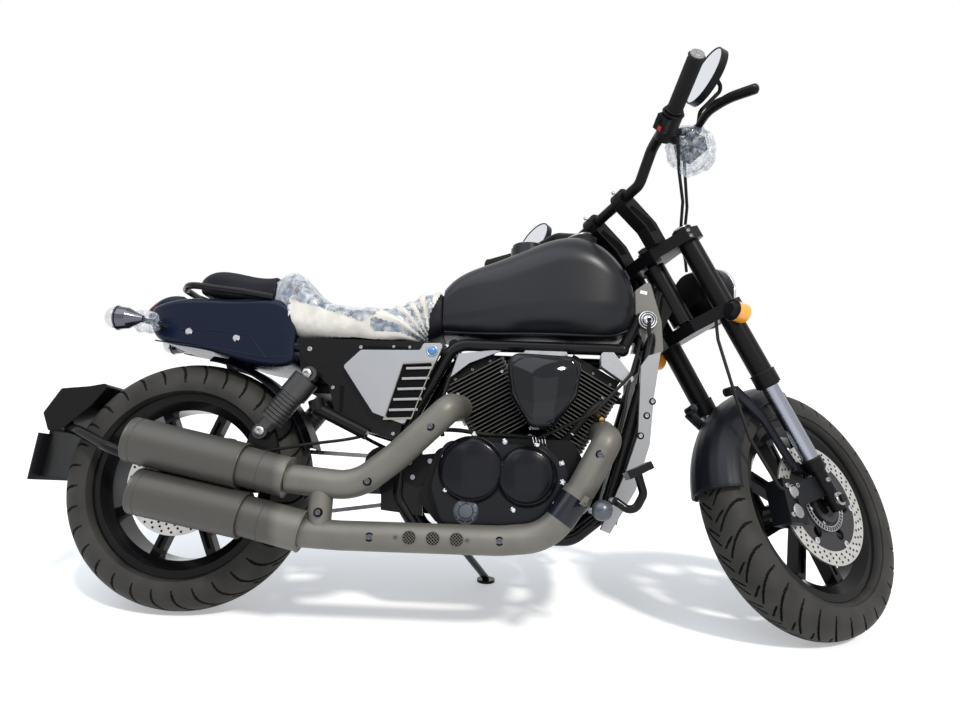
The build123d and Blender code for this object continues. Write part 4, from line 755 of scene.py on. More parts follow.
COVER_BOLTS = [(730, 456), (804, 442), (881, 436), (940, 396), (942, 352), (829, 284), (668, 323),
    (660, 400), (926, 300)]
engine_bolts = Shapes()
for x, z in COVER_BOLTS:
    engine_bolts.lathe(at(x, -144, z), RIGHT, [(0.0068, -0.004), (0.0068, 0.002), (0.0052, 0.003),
        (0.0052, 0.008), (0.0042, 0.0090), (0.0025, 0.0090), (0.0025, 0.005)], 14)
for x, z, radius in ((858, 362, 78), (690, 356, 62)):
    for number in range(7):
        angle = radians(number * 360 / 7 + 12)
        engine_bolts.bolt(at(x + (radius + 5) * cos(angle), 122, z + (radius + 5) * sin(angle)), LEFT, 0.005,
            0.007)
engine_bolts.done("engine_bolts", "chrome", "root")
cover_rings = Shapes()
cover_rings.ring(at(727, -146.5, 373), RIGHT, 0.0765, 0.0030, 72, 8)
cover_rings.ring(at(858, -146.5, 362), RIGHT, 0.0705, 0.0030, 72, 8)
cover_rings.done("cover_rings", "engine", "root")
# x, z, radius and y of the round covers' flat faces, which get a shallow dome
COVER_FACES = [(727, 373, 76, -165.5), (858, 362, 70, -161.5), (858, 362, 78, 155.5), (690, 356, 62, 147.5)]
DOME_RINGS = [0.985, 0.95, 0.9, 0.82, 0.7, 0.55, 0.38, 0.2, 0.04]
COVER_DOME = 0.009
cover_domes = Shapes()
for x, z, radius, face in COVER_FACES:
    reach = (radius - 9) * MM
    profile = [(reach, -0.0025)] + [(reach * part, COVER_DOME * (1 - part ** 2) - 0.0012)
        for part in DOME_RINGS]
    cover_domes.lathe(at(x, face, z), (0, face, 0), profile, 72)
cover_domes.done("cover_domes", "cover_black", "root", 80)
small_cover = Shapes()
small_cover.lathe(at(718, -142, 276), RIGHT, [(0.030, -0.004), (0.030, 0.006), (0.026, 0.009),
    (0.018, 0.009), (0.016, 0.013), (0.006, 0.014)], 28)
for number in range(8):
    angle = radians(number * 45)
    small_cover.box(at(718 + 23 * cos(angle), -150.5, 276 + 23 * sin(angle)), (0.010, 0.004, 0.003),
        Matrix.Rotation(-angle, 4, "Y"))
small_cover.done("oil_plug", "grey_metal", "root")

AIR_OUTLINE = [(800, 646), (980, 640), (968, 546), (914, 473), (860, 471), (814, 541)]
AIR_MIDDLE, AIR_FACE, AIR_DOME, AIR_REACH = (890, 576), 226, 16, 72
air_corners = grown(AIR_OUTLINE, 0.90)
for sweep in range(4):
    pairs = list(zip(air_corners, air_corners[1:] + air_corners[:1]))
    air_corners = [(first[0] * near + second[0] * (1 - near), first[1] * near + second[1] * (1 - near))
        for first, second in pairs for near in (0.78, 0.22)]
air_rings = []
for part in [1.0] + DOME_RINGS:
    ring = []
    for x, z in air_corners:
        across, up = x - AIR_MIDDLE[0], z - AIR_MIDDLE[1]
        rounder = part * (part + (1 - part) * AIR_REACH / hypot(across, up))
        ring.append(at(AIR_MIDDLE[0] + across * rounder, -AIR_FACE + 1.2 - AIR_DOME * (1 - part ** 2),
            AIR_MIDDLE[1] + up * rounder))
    air_rings.append(ring)
air_dome = Shapes()
air_dome.rows(air_rings)
air_dome.done("air_cleaner_dome", "engine_gloss", "root", 80)
air_bracket = Shapes()
air_bracket.slab([(846, 664), (946, 664), (952, 650), (966, 640), (830, 640), (838, 652)], -150, -104)
air_bracket.bolt(at(850, -150, 652), RIGHT, 0.006, 0.004)
air_bracket.bolt(at(944, -150, 652), RIGHT, 0.006, 0.004)
air_bracket.done("air_cleaner_bracket", "dull_steel", "root")


HOSES = [  # radius in m, then the route
    (0.0085, [(1098, -60, 560), (1040, -96, 560), (1000, -104, 520), (968, -100, 466), (930, -98, 440)]),
    (0.0055, [(640, -100, 468), (700, -110, 470), (756, -112, 456), (820, -110, 462), (900, -108, 452)]),
    (0.0050, [(664, -96, 610), (648, -104, 560), (640, -104, 500), (652, -108, 452)]),
    (0.0060, [(1030, 96, 540), (1000, 112, 480), (940, 118, 452), (880, 112, 442)]),
    (0.0045, [(1120, -96, 640), (1096, -120, 590), (1092, -122, 520), (1070, -118, 440), (1040, -118, 380)]),
    (0.0050, [(300, 108, 560), (380, 112, 470), (480, 112, 430), (560, 108, 400)]),
    (0.0040, [(470, -128, 446), (420, -136, 430), (330, -140, 420), (240, -132, 398), (150, -112, 392),
              (104, -108, 400)]),
]
hoses = Shapes()
for thick, route in HOSES:
    hoses.tube(evened(divided([at(*point) for point in route], 8), 24, 1), thick)
hoses.done("engine_hoses", "rubber", "root")
clips = Shapes()
for spot, radius in ((at(1040, -96, 560), 0.0098), (at(968, -100, 468), 0.0098)):
    clips.ring(spot, (0.6, 0, 0.8), radius, 0.0016, 24, 6)
for number in range(5):
    clips.ring(at(872 + number * 7, -128, 446), (1, 0, 0.2), 0.0135, 0.0016, 28, 8)
clips.done("hose_clips", "chrome", "root")
plugs = Shapes()
plugs.rod(at(1020, -84, 528), at(1032, -118, 508), 0.009, 0.007)
plugs.lathe(at(1032, -118, 508), (0.3, -0.9, -0.4), [(0.007, 0), (0.007, 0.012), (0.004, 0.014)], 14)
plugs.done("spark_plug_ends", "brass", "root")

# gear that hangs below and behind the engine
under = Shapes()
under.slab([(640, 262), (700, 262), (716, 236), (660, 232)], -126, -70)
under.rod(at(920, 0, 250), at(920, -110, 250), 0.030)
under.slab([(560, 400), (640, 410), (650, 352), (596, 330), (560, 340)], -112, -60)
under.slab([(560, 400), (640, 410), (650, 352), (596, 330), (560, 340)], 60, 84)
under.rod(at(500, -60, 380), at(500, 60, 380), 0.045)
under.box(at(500, 0, 520), (0.14, 0.15, 0.11))
under.box(at(420, 0, 600), (0.22, 0.16, 0.10))
under.done("engine_gear", "engine", "root", 30)
under_bolts = Shapes()
for x, z in ((575, 385), (625, 390), (630, 350), (585, 350)):
    under_bolts.bolt(at(x, -112, z), RIGHT, 0.007, 0.006)
for x, z in ((668, 256), (694, 244)):
    under_bolts.bolt(at(x, -126, z), RIGHT, 0.006, 0.005)
under_bolts.done("gear_bolts", "dull_steel", "root")

# ------------------------------------------------------------------ exhaust
PIPE_SIDE = -245
SHIELD_BOLTS = [(500, 334), (634, 462), (395, 262), (513, 214), (799, 217), (1016, 413)]
# the black rings in the recesses round the heat shield bolts are painted shade
shield_bolts, shield_sink_shade = Shapes(), Shapes()
for x, z in SHIELD_BOLTS:
    shield_sink_shade.lathe(at(x, PIPE_SIDE + 3, z), RIGHT,
        [(0.0100, -0.004), (0.0100, 0.0022), (0.0092, 0.0026)], 24)
    shield_bolts.lathe(at(x, PIPE_SIDE + 3, z), RIGHT, [(0.0066, -0.004), (0.0066, 0.0034), (0.0058, 0.0046),
        (0.0032, 0.0046), (0.0026, 0.0030)], 20)
for x in (571, 729):
    shield_bolts.bolt(at(x, PIPE_SIDE, 216), RIGHT, 0.0042, 0.003)
shield_bolts.done("heat_shield_bolts", "grey_metal", "root")
shield_sink_shade.done("heat_shield_sink_shade", "hole_painted_shade", "root")
# the black discs behind the vent screens are painted shade
vent_shade = Shapes()
vent_mesh = Shapes()
for x in (601, 653, 705):
    vent_shade.lathe(at(x, PIPE_SIDE + 2.2, 216), RIGHT, [(0.0145, -0.004), (0.0145, 0.0020), (0.0138, 0.0024)],
        28)
    vent_mesh.ring(at(x, PIPE_SIDE - 0.2, 216), RIGHT, 0.0150, 0.0010, 32, 6)
    for step in range(-2, 3):
        reach = sqrt(0.0130 ** 2 - (step * 0.005) ** 2)
        for turn_by in (45, -45):
            turn = Matrix.Rotation(radians(turn_by), 4, "Y")
            middle = at(x, PIPE_SIDE - 0.6, 216) + turn @ Vector((0, 0, step * 0.005))
            vent_mesh.box(middle, (2 * reach, 0.0010, 0.0009), turn)
vent_shade.done("vent_hole_shade", "hole_painted_shade", "root")
vent_mesh.done("vent_screens", "exhaust", "root")

OUT = -212
bare = Shapes()
bare_from, bare_to = at(931, OUT, 265), at(968, OUT, 320)
bare.rod(bare_from, bare_to, 0.0338, sides=40)
bare.done("bare_pipe", "pipe_dark", "root")
clamps = Shapes()
along_pipe = (bare_to - bare_from).normalized()
clamps.rod(bare_to - along_pipe * 0.005, bare_to + along_pipe * 0.011, 0.0352, sides=40)
clamps.box(bare_to + Vector((0.012, -0.034, -0.012)) + along_pipe * 0.003, (0.016, 0.012, 0.022),
    up_to(along_pipe))
clamps.bolt(bare_to + Vector((0.014, -0.040, -0.016)), RIGHT, 0.005, 0.006)
clamps.done("exhaust_clamp", "exhaust", "root")
seams = Shapes()
for rear, front, radius in (((204, 358), (312, 336), 0.0462), ((217, 248), (356, 218), 0.0462)):
    start, end = at(rear[0], OUT, rear[1]), at(front[0], OUT, front[1])
    line = (end - start).normalized()
    seams.ring(start + line * 0.0005, line, radius + 0.0050, 0.0030, 64, 8)
    seams.ring(end - line * 0.001, line, radius - 0.0005, 0.0022, 64, 8)
    seams.ring(start + line * 0.050, line, radius, 0.0008, 64, 6)
# a black disc inside each muffler tip is painted shade
tip_shade = Shapes()
for rear, step in (((-60, 408), (204, 358)), ((-34, 292), (217, 248))):
    start, end = at(rear[0], OUT, rear[1]), at(step[0], OUT, step[1])
    line = (end - start).normalized()
    seams.ring(start + line * 0.002, line, 0.0505, 0.0035, 64, 8)
    seams.ring(start + line * 0.018, line, 0.0530, 0.0009, 64, 6)
    tip_shade.rod(start + line * 0.050, start + line * 0.0605, 0.0345, sides=32)
seams.done("muffler_seams", "exhaust", "root")
tip_shade.done("muffler_inside_shade", "hole_painted_shade", "root")

# ------------------------------------------------------------------ side panels, tail and seat frame
PANEL_FACE = 140
GRILLE = [(548, 622), (622, 628), (576, 492), (512, 488)]


borders, inset_shade, buttons, button_rims = Shapes(), Shapes(), Shapes(), Shapes()
for sign in (-1, 1):
    outer, inner = grown(GRILLE, 1.07), grown(GRILLE, 1.0)
    for k in range(4):
        nxt = (k + 1) % 4
        borders.slab([outer[k], outer[nxt], inner[nxt], inner[k]], sign * (PANEL_FACE - 2),
            sign * (PANEL_FACE + 1.6))
    # the recess behind the grille is a black slab of painted shade
    inset_shade.slab(grown(GRILLE, 0.99), sign * (PANEL_FACE - 8), sign * (PANEL_FACE - 6.5))
    buttons.lathe(at(618, sign * PANEL_FACE, 657), (0, sign, 0),
        [(0.0105, -0.002), (0.0105, 0.003), (0.008, 0.0055), (0.003, 0.0065)], 28)
    button_rims.ring(at(618, sign * (PANEL_FACE + 0.8), 657), (0, sign, 0), 0.0120, 0.0022, 32, 8)
borders.done("grille_borders", "cream", "root")
inset_shade.done("grille_inset_shade", "hole_painted_shade", "root")
buttons.done("panel_buttons", "blue", "root")
button_rims.done("panel_button_rims", "silver", "root")
plate_bolts = Shapes()
for sign in (-1, 1):
    for x, z, size in ((310, 655, 0.0065), (438, 664, 0.005), (520, 668, 0.004), (560, 668, 0.004),
            (404, 486, 0.005), (532, 452, 0.005), (376, 560, 0.005)):
        plate_bolts.bolt(at(x, sign * 121, z), (0, sign, 0), size, 0.004)
    for x, z in ((316, 588), (214, 444)):
        plate_bolts.lathe(at(x, sign * 152, z), (0, sign, 0), [(0.013, 0), (0.013, 0.004), (0.010, 0.006),
            (0.005, 0.006), (0.004, 0.002)], 6)
plate_bolts.done("side_plate_bolts", "dull_steel", "root")
# the slots in the side plates are black slabs of painted shade
plate_slot_shade = Shapes()
for sign in (-1, 1):
    plate_slot_shade.slab([(440, 668), (560, 668), (556, 660), (446, 660)], sign * 120.5, sign * 121.6)
    plate_slot_shade.slab([(392, 566), (404, 566), (404, 500), (396, 500)], sign * 120.5, sign * 121.6)
plate_slot_shade.done("side_plate_slot_shade", "hole_painted_shade", "root")

tail_screws = Shapes()
tail_lines = Shapes()
for sign in (-1, 1):
    for x, z, y in ((-10, 694, 104), (116, 680, 109)):
        tail_screws.lathe(at(x, sign * (y - 0.5), z), (0, sign, 0),
            [(0.0095, 0), (0.0095, 0.002), (0.0070, 0.0048), (0.003, 0.0052)], 20)
    crease = [(-30, 104, 700), (60, 109, 698), (150, 110.4, 688), (196, 110.4, 632)]
    tail_lines.tube([at(x, sign * y, z) for x, y, z in crease], 0.0014, 8)
    lower = [(-104, 84, 672), (-20, 103, 660), (96, 109, 648), (196, 110.4, 632), (252, 108, 636)]
    tail_lines.tube([at(x, sign * y, z) for x, y, z in lower], 0.0018, 8)
tail_screws.done("tail_screws", "chrome", "root")
tail_lines.done("tail_creases", "tail_paint", "root")

lamp_glasses = Shapes()
lamp_cores = Shapes()
for sign in (-1, 1):
    spot = at(-150, sign * 152, 712)
    lamp_glasses.lathe(spot + Vector((-0.0200, 0, 0)), (-1, 0, 0),
        [(0.0298, 0), (0.0290, 0.010), (0.024, 0.020), (0.014, 0.0275), (0.004, 0.030)], 32)
    lamp_cores.ring(spot + Vector((-0.0190, 0, 0)), (1, 0, 0), 0.0290, 0.0020, 40, 8)
lamp_glasses.done("rear_indicator_lenses", "clear_lens", "root")
lamp_cores.done("rear_indicator_rims", "lamp_body", "root")
amber_rings = Shapes()
for sign in (-1, 1):
    tip = on_fork(0.842, sign * 0.150, 0.004)
    amber_rings.ring(tip - Vector((0.015, 0, 0)), (1, 0, 0), 0.0245, 0.0030, 40, 8)
    amber_rings.rod(tip - Vector((0.026, 0, 0)), tip - Vector((0.0155, 0, 0)), 0.015, 0.0245, 32)
amber_rings.done("front_indicator_backs", "satin_black", "steering")

# ------------------------------------------------------------------ headstock, guards and caliper
headstock = Shapes()
key = Shapes()
label = Shapes()
for sign in (-1, 1):
    middle = at(1158, sign * 74, 770)
    for radius, height in ((0.022, 0.001), (0.016, 0.003), (0.010, 0.004)):
        headstock.ring(middle + Vector((0, sign * height, 0)), (0, sign, 0), radius, 0.0017, 48, 8)
    headstock.lathe(middle, (0, sign, 0), [(0.0085, 0), (0.0085, 0.006), (0.006, 0.007)], 20)
key.box(at(1159, -86, 744), (0.007, 0.009, 0.036))
key.rod(at(1159, -80, 770), at(1159, -88, 768), 0.005)
headstock.done("ignition_lock", "chrome", "root")
key.done("ignition_key", "satin_black", "root")
label.box(at(1150, -62.3, 846), (0.018, 0.0006, 0.009), Matrix.Rotation(radians(12), 4, "Y"))
label.done("blank_sticker", "label", "root")

GUARD_HOLES = [(1157, 553), (1143, 518), (1128, 469)]
# the holes in the radiator guards are black discs of painted shade
guard_hole_shade, guard_bolts = Shapes(), Shapes()
for sign in (-1, 1):
    for x, z in GUARD_HOLES:
        guard_hole_shade.rod(at(x, sign * 127.6, z), at(x, sign * 128.4, z), 0.0085)
        guard_bolts.bolt(at(x, sign * 127, z), (0, sign, 0), 0.0055, 0.004)
guard_hole_shade.done("guard_hole_shade", "hole_painted_shade", "root")
guard_bolts.done("guard_bolts", "dull_steel", "root")
radiator_fins = Shapes()
core_low, core_high = at(1060, 0, 262), at(1160, 0, 640)
core_up = (core_high - core_low).normalized()
core_ahead = Vector((core_up.z, 0, -core_up.x))
turn = Matrix((core_ahead, Vector((0, 1, 0)), core_up)).transposed().to_4x4()
for number in range(46):
    for face in (-1, 1):
        middle = core_low + core_up * (0.012 + number * 0.0082) + core_ahead * face * 0.0172
        radiator_fins.box(middle, (0.0012, 0.182, 0.0022), turn)
radiator_fins.done("radiator_fins", "core", "root")

caliper = Shapes()
for dx, dz in ((-20, 34), (-20, -34), (16, 38)):
    caliper.bolt(at(1423 + dx, -97.5, 298 + dz), RIGHT, 0.0065, 0.005)
for dz in (-24, 22):
    caliper.lathe(at(1424, -97, 298 + dz), RIGHT, [(0.017, 0), (0.017, 0.003), (0.012, 0.005),
        (0.004, 0.005)], 28)
for height, ahead in ((0.385, 0.030), (0.345, 0.030)):
    caliper.bolt(on_fork(height, -0.104 - 0.018, ahead), RIGHT, 0.006, 0.005)
caliper.done("caliper_bolts", "dull_steel", "steering")
fender_rivets = Shapes()
for x, z in ((1316, 564), (1392, 510), (1466, 394)):
    for sign in (-1, 1):
        fender_rivets.bolt(at(x, sign * 80.5, z), (0, sign, 0), 0.0055, 0.003)
fender_rivets.done("fender_rivets", "chrome", "steering")

# ------------------------------------------------------------------ foot pegs
peg_ends, peg_rubber = Shapes(), Shapes()
for sign in (-1, 1):
    start, end = at(1022, sign * 262, 291), at(1008, sign * 340, 293)
    line = (end - start).normalized()
    peg_ends.lathe(end, line, [(0.0215, -0.006), (0.0215, 0.004), (0.0190, 0.014), (0.012, 0.021),
        (0.004, 0.024)], 32)
    for number in range(7):
        peg_rubber.ring(start + line * (0.008 + number * 0.009), line, 0.0172, 0.0022, 32, 8)
peg_ends.done("peg_ends", "grey_metal", "root")
peg_rubber.done("peg_rubber", "rubber", "root")

# ------------------------------------------------------------------ final drive
CHAIN_Y = 92 * MM
CHAIN_REAR = (0.0, TYRE_RADIUS, 0.1075)
CHAIN_FRONT = (0.628, 0.352, 0.050)


def chain_route(spacing):
    """Points a pitch apart along the chain's middle line, with their headings."""
    rear_x, rear_z, rear_r = CHAIN_REAR
    front_x, front_z, front_r = CHAIN_FRONT
    span = hypot(front_x - rear_x, front_z - rear_z)
    heading = atan2(front_z - rear_z, front_x - rear_x)
    spread = atan2(sqrt(span ** 2 - (rear_r - front_r) ** 2), rear_r - front_r)
    straight = sqrt(span ** 2 - (rear_r - front_r) ** 2)
    rear_arc, front_arc = (2 * pi - 2 * spread) * rear_r, 2 * spread * front_r
    whole = 2 * straight + rear_arc + front_arc
    count = round(whole / spacing / 2) * 2
    for number in range(count):
        gone = number * whole / count
        if gone < straight:
            a = heading + spread
            start = (rear_x + rear_r * cos(a), rear_z + rear_r * sin(a))
            yield start[0] + gone * sin(a), start[1] - gone * cos(a), a - pi / 2
        elif gone < straight + front_arc:
            a = heading + spread - (gone - straight) / front_r
            yield front_x + front_r * cos(a), front_z + front_r * sin(a), a - pi / 2
        elif gone < 2 * straight + front_arc:
            a = heading - spread
            start = (front_x + front_r * cos(a), front_z + front_r * sin(a))
            along = gone - straight - front_arc
            yield start[0] + along * sin(a), start[1] - along * cos(a), a - pi / 2
        else:
            a = heading - spread - (gone - 2 * straight - front_arc) / rear_r
            yield rear_x + rear_r * cos(a), rear_z + rear_r * sin(a), a - pi / 2


CHAIN_PITCH = 0.0159
links = Shapes()
for number, (x, z, angle) in enumerate(chain_route(CHAIN_PITCH)):
    turn = Matrix.Rotation(-angle, 4, "Y")
    reach = 0.0105 if number % 2 else 0.0075
    for sign in (-1, 1):
        middle = Vector((x, CHAIN_Y + sign * reach * 0.72, z))
        links.box(middle, (0.0215, 0.0018, 0.0105), turn)
    links.rod(Vector((x, CHAIN_Y - 0.0085, z)) + turn @ Vector((0.0079, 0, 0)),
        Vector((x, CHAIN_Y + 0.0085, z)) + turn @ Vector((0.0079, 0, 0)), 0.0042, sides=10)
chain = links.done("chain_links", "dull_steel", "root")
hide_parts("drive_chain")
teeth = Shapes()
for number in range(40):
    angle = number * 9
    teeth.box(round_about(REAR_AXLE, 0.1015, angle, CHAIN_Y), (0.0050, 0.0062, 0.010),
        Matrix.Rotation(radians(angle), 4, "Y"))
teeth.done("sprocket_teeth", "dull_steel", "rear_wheel")
sprocket_bolts = Shapes()
for number in range(6):
    sprocket_bolts.bolt(round_about(REAR_AXLE, 0.062, number * 60, 0.0955), LEFT, 0.007, 0.005)
sprocket_bolts.done("sprocket_bolts", "chrome", "rear_wheel")

# ------------------------------------------------------------------ number plate
plate_frame = Shapes()
low, high = at(-372, 0, 308), at(-362, 0, 424)
plate_up = (high - low).normalized()
plate_back = Vector((-plate_up.z, 0, plate_up.x))
turn = Matrix((plate_back, Vector((0, 1, 0)), plate_up)).transposed().to_4x4()
middle = (low + high) / 2 + plate_back * 0.0022
for sign in (-1, 1):
    plate_frame.box(middle + Vector((0, sign * 0.0925, 0)), (0.0022, 0.004, 0.115), turn)
    plate_frame.box(middle + plate_up * sign * 0.056, (0.0022, 0.189, 0.004), turn)
plate_frame.done("plate_frame", "plastic_black", "root")
plate_bolt = Shapes()
for sign in (-1, 1):
    plate_bolt.bolt(middle + Vector((0, sign * 0.06, 0)) + plate_up * 0.044 - plate_back * 0.0008,
        plate_back, 0.006, 0.003)
plate_bolt.done("plate_bolts", "dull_steel", "root")
rear_reflector = Shapes()
rear_reflector.lathe(at(-352, 0, 506), (-0.93, 0, 0.10), [(0.024, 0), (0.024, 0.005), (0.020, 0.008)], 32)
rear_reflector.done("rear_reflector", "lamp_red", "root")

# ------------------------------------------------------------------ seats and clear film
def soft_copy(node_name, name, material, voxel, swell, smooth_steps):
    """A rounder copy of a soft solid: remeshed, swollen a little and evened out."""
    source = NODES[node_name]
    piece = bpy.data.objects.new(name, source.data.copy())
    piece.data.materials.clear()
    bpy.context.scene.collection.objects.link(piece)
    remesh = piece.modifiers.new("remesh", "REMESH")
    remesh.mode = "VOXEL"
    remesh.voxel_size = voxel
    smoother = piece.modifiers.new("smooth", "SMOOTH")
    smoother.iterations = smooth_steps
    smoother.factor = 0.5
    bpy.context.view_layer.update()
    evaluated = piece.evaluated_get(bpy.context.evaluated_depsgraph_get())
    mesh = bpy.data.meshes.new_from_object(evaluated)
    piece.modifiers.clear()
    piece.data = mesh
    mesh.materials.append(MAT[material])
    if swell:
        normals = [Vector(vertex.normal) for vertex in mesh.vertices]
        for vertex, normal in zip(mesh.vertices, normals):
            vertex.co += normal * swell
    mesh.shade_smooth()
    return piece


def crinkle(point, seed):
    """Height of crumpled film at a point in metres, from -1 to 1."""
    wobble = noise.noise_vector(point * 9 + Vector((seed, 0, 0))) * 0.030
    spot = Vector((point.x * 20, point.y * 13, point.z * 13)) + wobble * 22 + Vector((seed * 3.1, seed, 0))
    near = noise.voronoi(spot)[0]
    ridge = 1 - min(1.0, (near[1] - near[0]) * 2.6)
    fine = noise.voronoi(spot * 2.3 + Vector((7, seed, 2)))[0]
    small = 1 - min(1.0, (fine[1] - fine[0]) * 2.6)
    return ridge * 0.75 + small * 0.38 + noise.noise(point * 11 + Vector((0, seed, 0))) * 0.6


def lowered(mesh, drop, level, over):
    """Takes the top of a soft copy down by up to a drop, above a level and over a height."""
    for vertex in mesh.vertices:
        place = BIKE.inverted() @ vertex.co
        share = min(1.0, max(0.0, (place.z - level) / over))
        vertex.co = BIKE @ Vector((place.x, place.y, place.z - drop * share))


def seat(node_name, name, drop, level):
    piece = soft_copy(node_name, name, "leather", 0.005, 0.0, 3)
    lowered(piece.data, drop, level, 0.07)
    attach(piece, "root")
    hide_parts(node_name)
    return piece


SEAT_DROP, SEAT_LEVEL = 0.012, 0.715
seat("rider_seat", "rider_seat_cover", SEAT_DROP, SEAT_LEVEL)
seat("pillion_seat", "pillion_seat_cover", -0.006, 0.80)

FILM_FRONT = [(0.690, 0.598), (0.760, 0.604), (0.820, 0.628)]   # (z, x) of the film's front edge by the tank
HIGHLIGHT_REAR = 0.246
HIGHLIGHT_TOP = [(0.246, 0.787), (0.440, 0.727), (0.594, 0.826)]   # (x, z) of the upper edge of the pale layer, the film's painted highlight
FOLD_FOOT = (0.610, 0.690)      # the folds at the front fan out from here


def on_line(line, x):
    """Height of a row of (x, z) corners at an x."""
    for (x_from, z_from), (x_to, z_to) in zip(line, line[1:]):
        if x <= x_to:
            return z_from + (z_to - z_from) * (x - x_from) / (x_to - x_from)
    return line[-1][1]


def fold(place):
    """Height of the fan of folds, from 0 to 1, and how far it counts at a place."""
    ahead, up = FOLD_FOOT[0] - place.x, place.z - FOLD_FOOT[1]
    turn_by = atan2(up, ahead) * 10 + noise.noise(place * 14) * 1.1
    share = min(1.0, max(0.0, (place.x - 0.43) / 0.04))
    return (0.5 + 0.5 * sin(turn_by * 2)) ** 2, share


film = soft_copy("rider_seat", "seat_film", "seat_film", 0.0042, 0.0012, 2)
lowered(film.data, SEAT_DROP, SEAT_LEVEL, 0.07)
film.data.materials.append(MAT["seat_film_highlight"])
upright = BIKE.inverted()
cut = bmesh.new()
cut.from_mesh(film.data)
gone = []
for face in cut.faces:
    place = upright @ face.calc_center_median()
    if place.z < 0.690 or place.x > on_line(FILM_FRONT, place.z) or (abs(place.y) < 0.070
            and place.z < 0.72):
        gone.append(face)
        continue
    # below its upper edge the film gets the pale layer, painted highlight, which is left out in the fold
    # valleys at the front
    ridge, share = fold(place)
    bare = share * (1 - ridge) > 0.72
    highlighted = place.x > HIGHLIGHT_REAR and place.z < on_line(HIGHLIGHT_TOP, place.x) + 0.004 * noise.noise(place * 40)
    face.material_index = 1 if highlighted and not bare else 0
bmesh.ops.delete(cut, geom=gone, context="FACES")
cut.normal_update()
moved = []
for vertex in cut.verts:
    place = upright @ vertex.co
    ridge, share = fold(place)
    flat = 0.25 if place.x > HIGHLIGHT_REAR and place.z < on_line(HIGHLIGHT_TOP, place.x) else 1.0
    rise = 0.0042 * flat * max(0.0, 0.30 + crinkle(place, 4.0)) + 0.0050 * share * ridge
    moved.append(vertex.co + vertex.normal * rise)
for vertex, place in zip(cut.verts, moved):
    vertex.co = place
cut.to_mesh(film.data)
cut.free()
film.data.shade_smooth()
film.data.set_sharp_from_angle(angle=radians(50))
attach(film, "root")


def bag(name, centre, radii, body, seed, turn=None, size=0.012):
    """A crumpled clear bag round a small part."""
    mesh = bpy.data.meshes.new(name)
    ball = bmesh.new()
    bmesh.ops.create_icosphere(ball, subdivisions=5, radius=1.0)
    turn = turn or Matrix.Identity(4)
    for vertex in ball.verts:
        unit = vertex.co.copy()
        reach = 1 + size / max(radii) * (crinkle(unit * 0.055 + Vector(centre), seed) - 0.4) * 1.2
        vertex.co = Vector(centre) + turn @ Vector((unit.x * radii[0], unit.y * radii[1],
            unit.z * radii[2])) * reach
    ball.to_mesh(mesh)
    ball.free()
    mesh.shade_smooth()
    mesh.set_sharp_from_angle(angle=radians(42))
    mesh.materials.append(MAT["film"])
    piece = bpy.data.objects.new(name, mesh)
    bpy.context.scene.collection.objects.link(piece)
    mesh.transform(PLACES[body])
    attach(piece, body)


bag("reservoir_film", on_fork(1.236, -0.262, 0.004), (0.055, 0.052, 0.062), "steering", 2.0, size=0.016)
bag("indicator_film", at(-112, -122, 708), (0.032, 0.030, 0.026), "root", 5.0, size=0.010)
bag("left_indicator_film", at(-112, 122, 708), (0.032, 0.030, 0.026), "root", 6.0, size=0.010)

# ------------------------------------------------------------------ stage, light and camera
FLOOR_COLOR = (0.86, 0.86, 0.86)
FLOOR_GLOW = 0.35              # so that the floor is white outside the shadow


def seen_directly(tree):
    """1 for rays from the camera, off a glossy surface or through glass."""
    path = tree.nodes.new("ShaderNodeLightPath")
    total = path.outputs["Is Camera Ray"]
    for ray in ("Is Glossy Ray", "Is Transmission Ray"):
        larger = tree.nodes.new("ShaderNodeMath")
        larger.operation = "MAXIMUM"
        tree.links.new(total, larger.inputs[0])
        tree.links.new(path.outputs[ray], larger.inputs[1])
        total = larger.outputs["Value"]
    return total


def stage_material():
    """Floor colour for the object's shadow and light, plain white for the camera outside the shadow."""
    material = bpy.data.materials.new("floor")
    material.use_nodes = True
    principled = material.node_tree.nodes["Principled BSDF"]
    principled.inputs["Base Color"].default_value = (*FLOOR_COLOR, 1)
    principled.inputs["Roughness"].default_value = 0.9
    principled.inputs["Specular IOR Level"].default_value = 0.1
    tree = material.node_tree
    glow = tree.nodes.new("ShaderNodeMath")
    glow.operation = "MULTIPLY"
    glow.inputs[1].default_value = FLOOR_GLOW
    tree.links.new(seen_directly(tree), glow.inputs[0])
    principled.inputs["Emission Color"].default_value = (1, 1, 1, 1)
    tree.links.new(glow.outputs["Value"], principled.inputs["Emission Strength"])
    return material


floor_mesh = bpy.data.meshes.new("floor")
floor_mesh.from_pydata([(-40, -40, 0), (40, -40, 0), (40, 40, 0), (-40, 40, 0)], [], [(0, 1, 2, 3)])
floor = bpy.data.objects.new("floor", floor_mesh)
floor.data.materials.append(stage_material())
bpy.context.scene.collection.objects.link(floor)

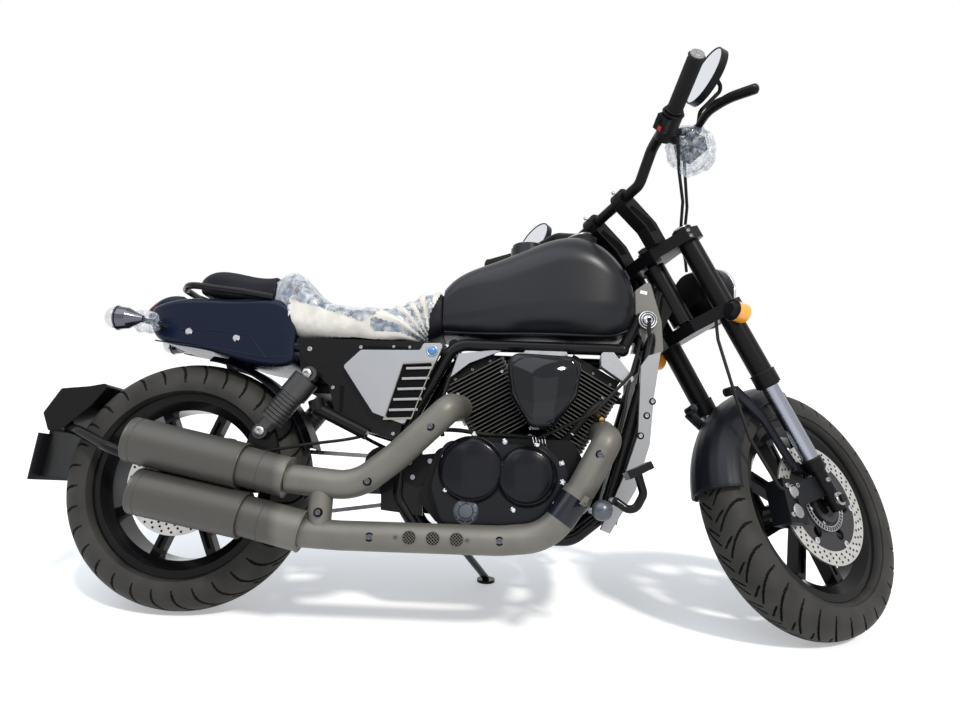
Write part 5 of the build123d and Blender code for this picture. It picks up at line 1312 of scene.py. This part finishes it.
world = bpy.data.worlds.new("studio")
bpy.context.scene.world = world
world.use_nodes = True
tree = world.node_tree
background = tree.nodes["Background"]
background.inputs["Color"].default_value = (0.82, 0.90, 1.0, 1)
background.inputs["Strength"].default_value = 0.45
white = tree.nodes.new("ShaderNodeBackground")
white.inputs["Color"].default_value = (1, 1, 1, 1)
white.inputs["Strength"].default_value = 1.0
mix = tree.nodes.new("ShaderNodeMixShader")
tree.links.new(seen_directly(tree), mix.inputs["Fac"])
tree.links.new(background.outputs["Background"], mix.inputs[1])
tree.links.new(white.outputs["Background"], mix.inputs[2])
tree.links.new(mix.outputs["Shader"], tree.nodes["World Output"].inputs["Surface"])


def lamp(name, kind, energy, place, towards, size=1.0, color=(1, 1, 1)):
    data = bpy.data.lights.new(name, kind)
    data.energy = energy
    data.color = color
    if kind == "AREA":
        data.size = size
    if kind == "SUN":
        data.angle = size
    light = bpy.data.objects.new(name, data)
    light.location = place
    light.rotation_euler = (Vector(towards) - Vector(place)).to_track_quat("-Z", "Y").to_euler()
    bpy.context.scene.collection.objects.link(light)


lamp("key", "SUN", 2.6, (1.6, -2.6, 3.4), (0.1, 0, 0.4), radians(6), (1.0, 0.96, 0.90))
lamp("sky", "AREA", 60, (-1.0, -1.2, 3.2), (0, 0, 0.5), 3.0, (0.85, 0.92, 1.0))
lamp("low", "AREA", 10, (0.4, -3.4, 0.9), (0, 0, 0.5), 2.4, (0.95, 0.97, 1.0))

# the photograph's camera, solved on the standing machine: place, turns and focal length
CAMERA_PLACE = Vector((0.7996, -1.7204, 0.6625))
CAMERA_LEAN = radians(11.36)
CAMERA_YAW, CAMERA_PITCH, CAMERA_ROLL = 0.0369, -0.0053, -0.0337
CAMERA_FOCUS = 699.5            # pixels, in a frame 960 wide
SENSOR = 36.0
camera_data = bpy.data.cameras.new("camera")
camera_data.sensor_width = SENSOR
camera_data.lens = CAMERA_FOCUS / 960 * SENSOR
camera_data.clip_start = 0.05
camera = bpy.data.objects.new("camera", camera_data)
bpy.context.scene.collection.objects.link(camera)
turn = (Matrix.Rotation(CAMERA_YAW, 4, "Z") @ Matrix.Rotation(CAMERA_PITCH, 4,
    "X") @ Matrix.Rotation(CAMERA_ROLL, 4, "Y"))
standing = Matrix.Translation(CAMERA_PLACE) @ turn @ Matrix.Rotation(pi / 2, 4, "X")
camera.matrix_world = BIKE @ Matrix.Rotation(CAMERA_LEAN, 4, "X") @ standing
bpy.context.scene.camera = camera
bpy.context.scene.view_settings.view_transform = "Standard"
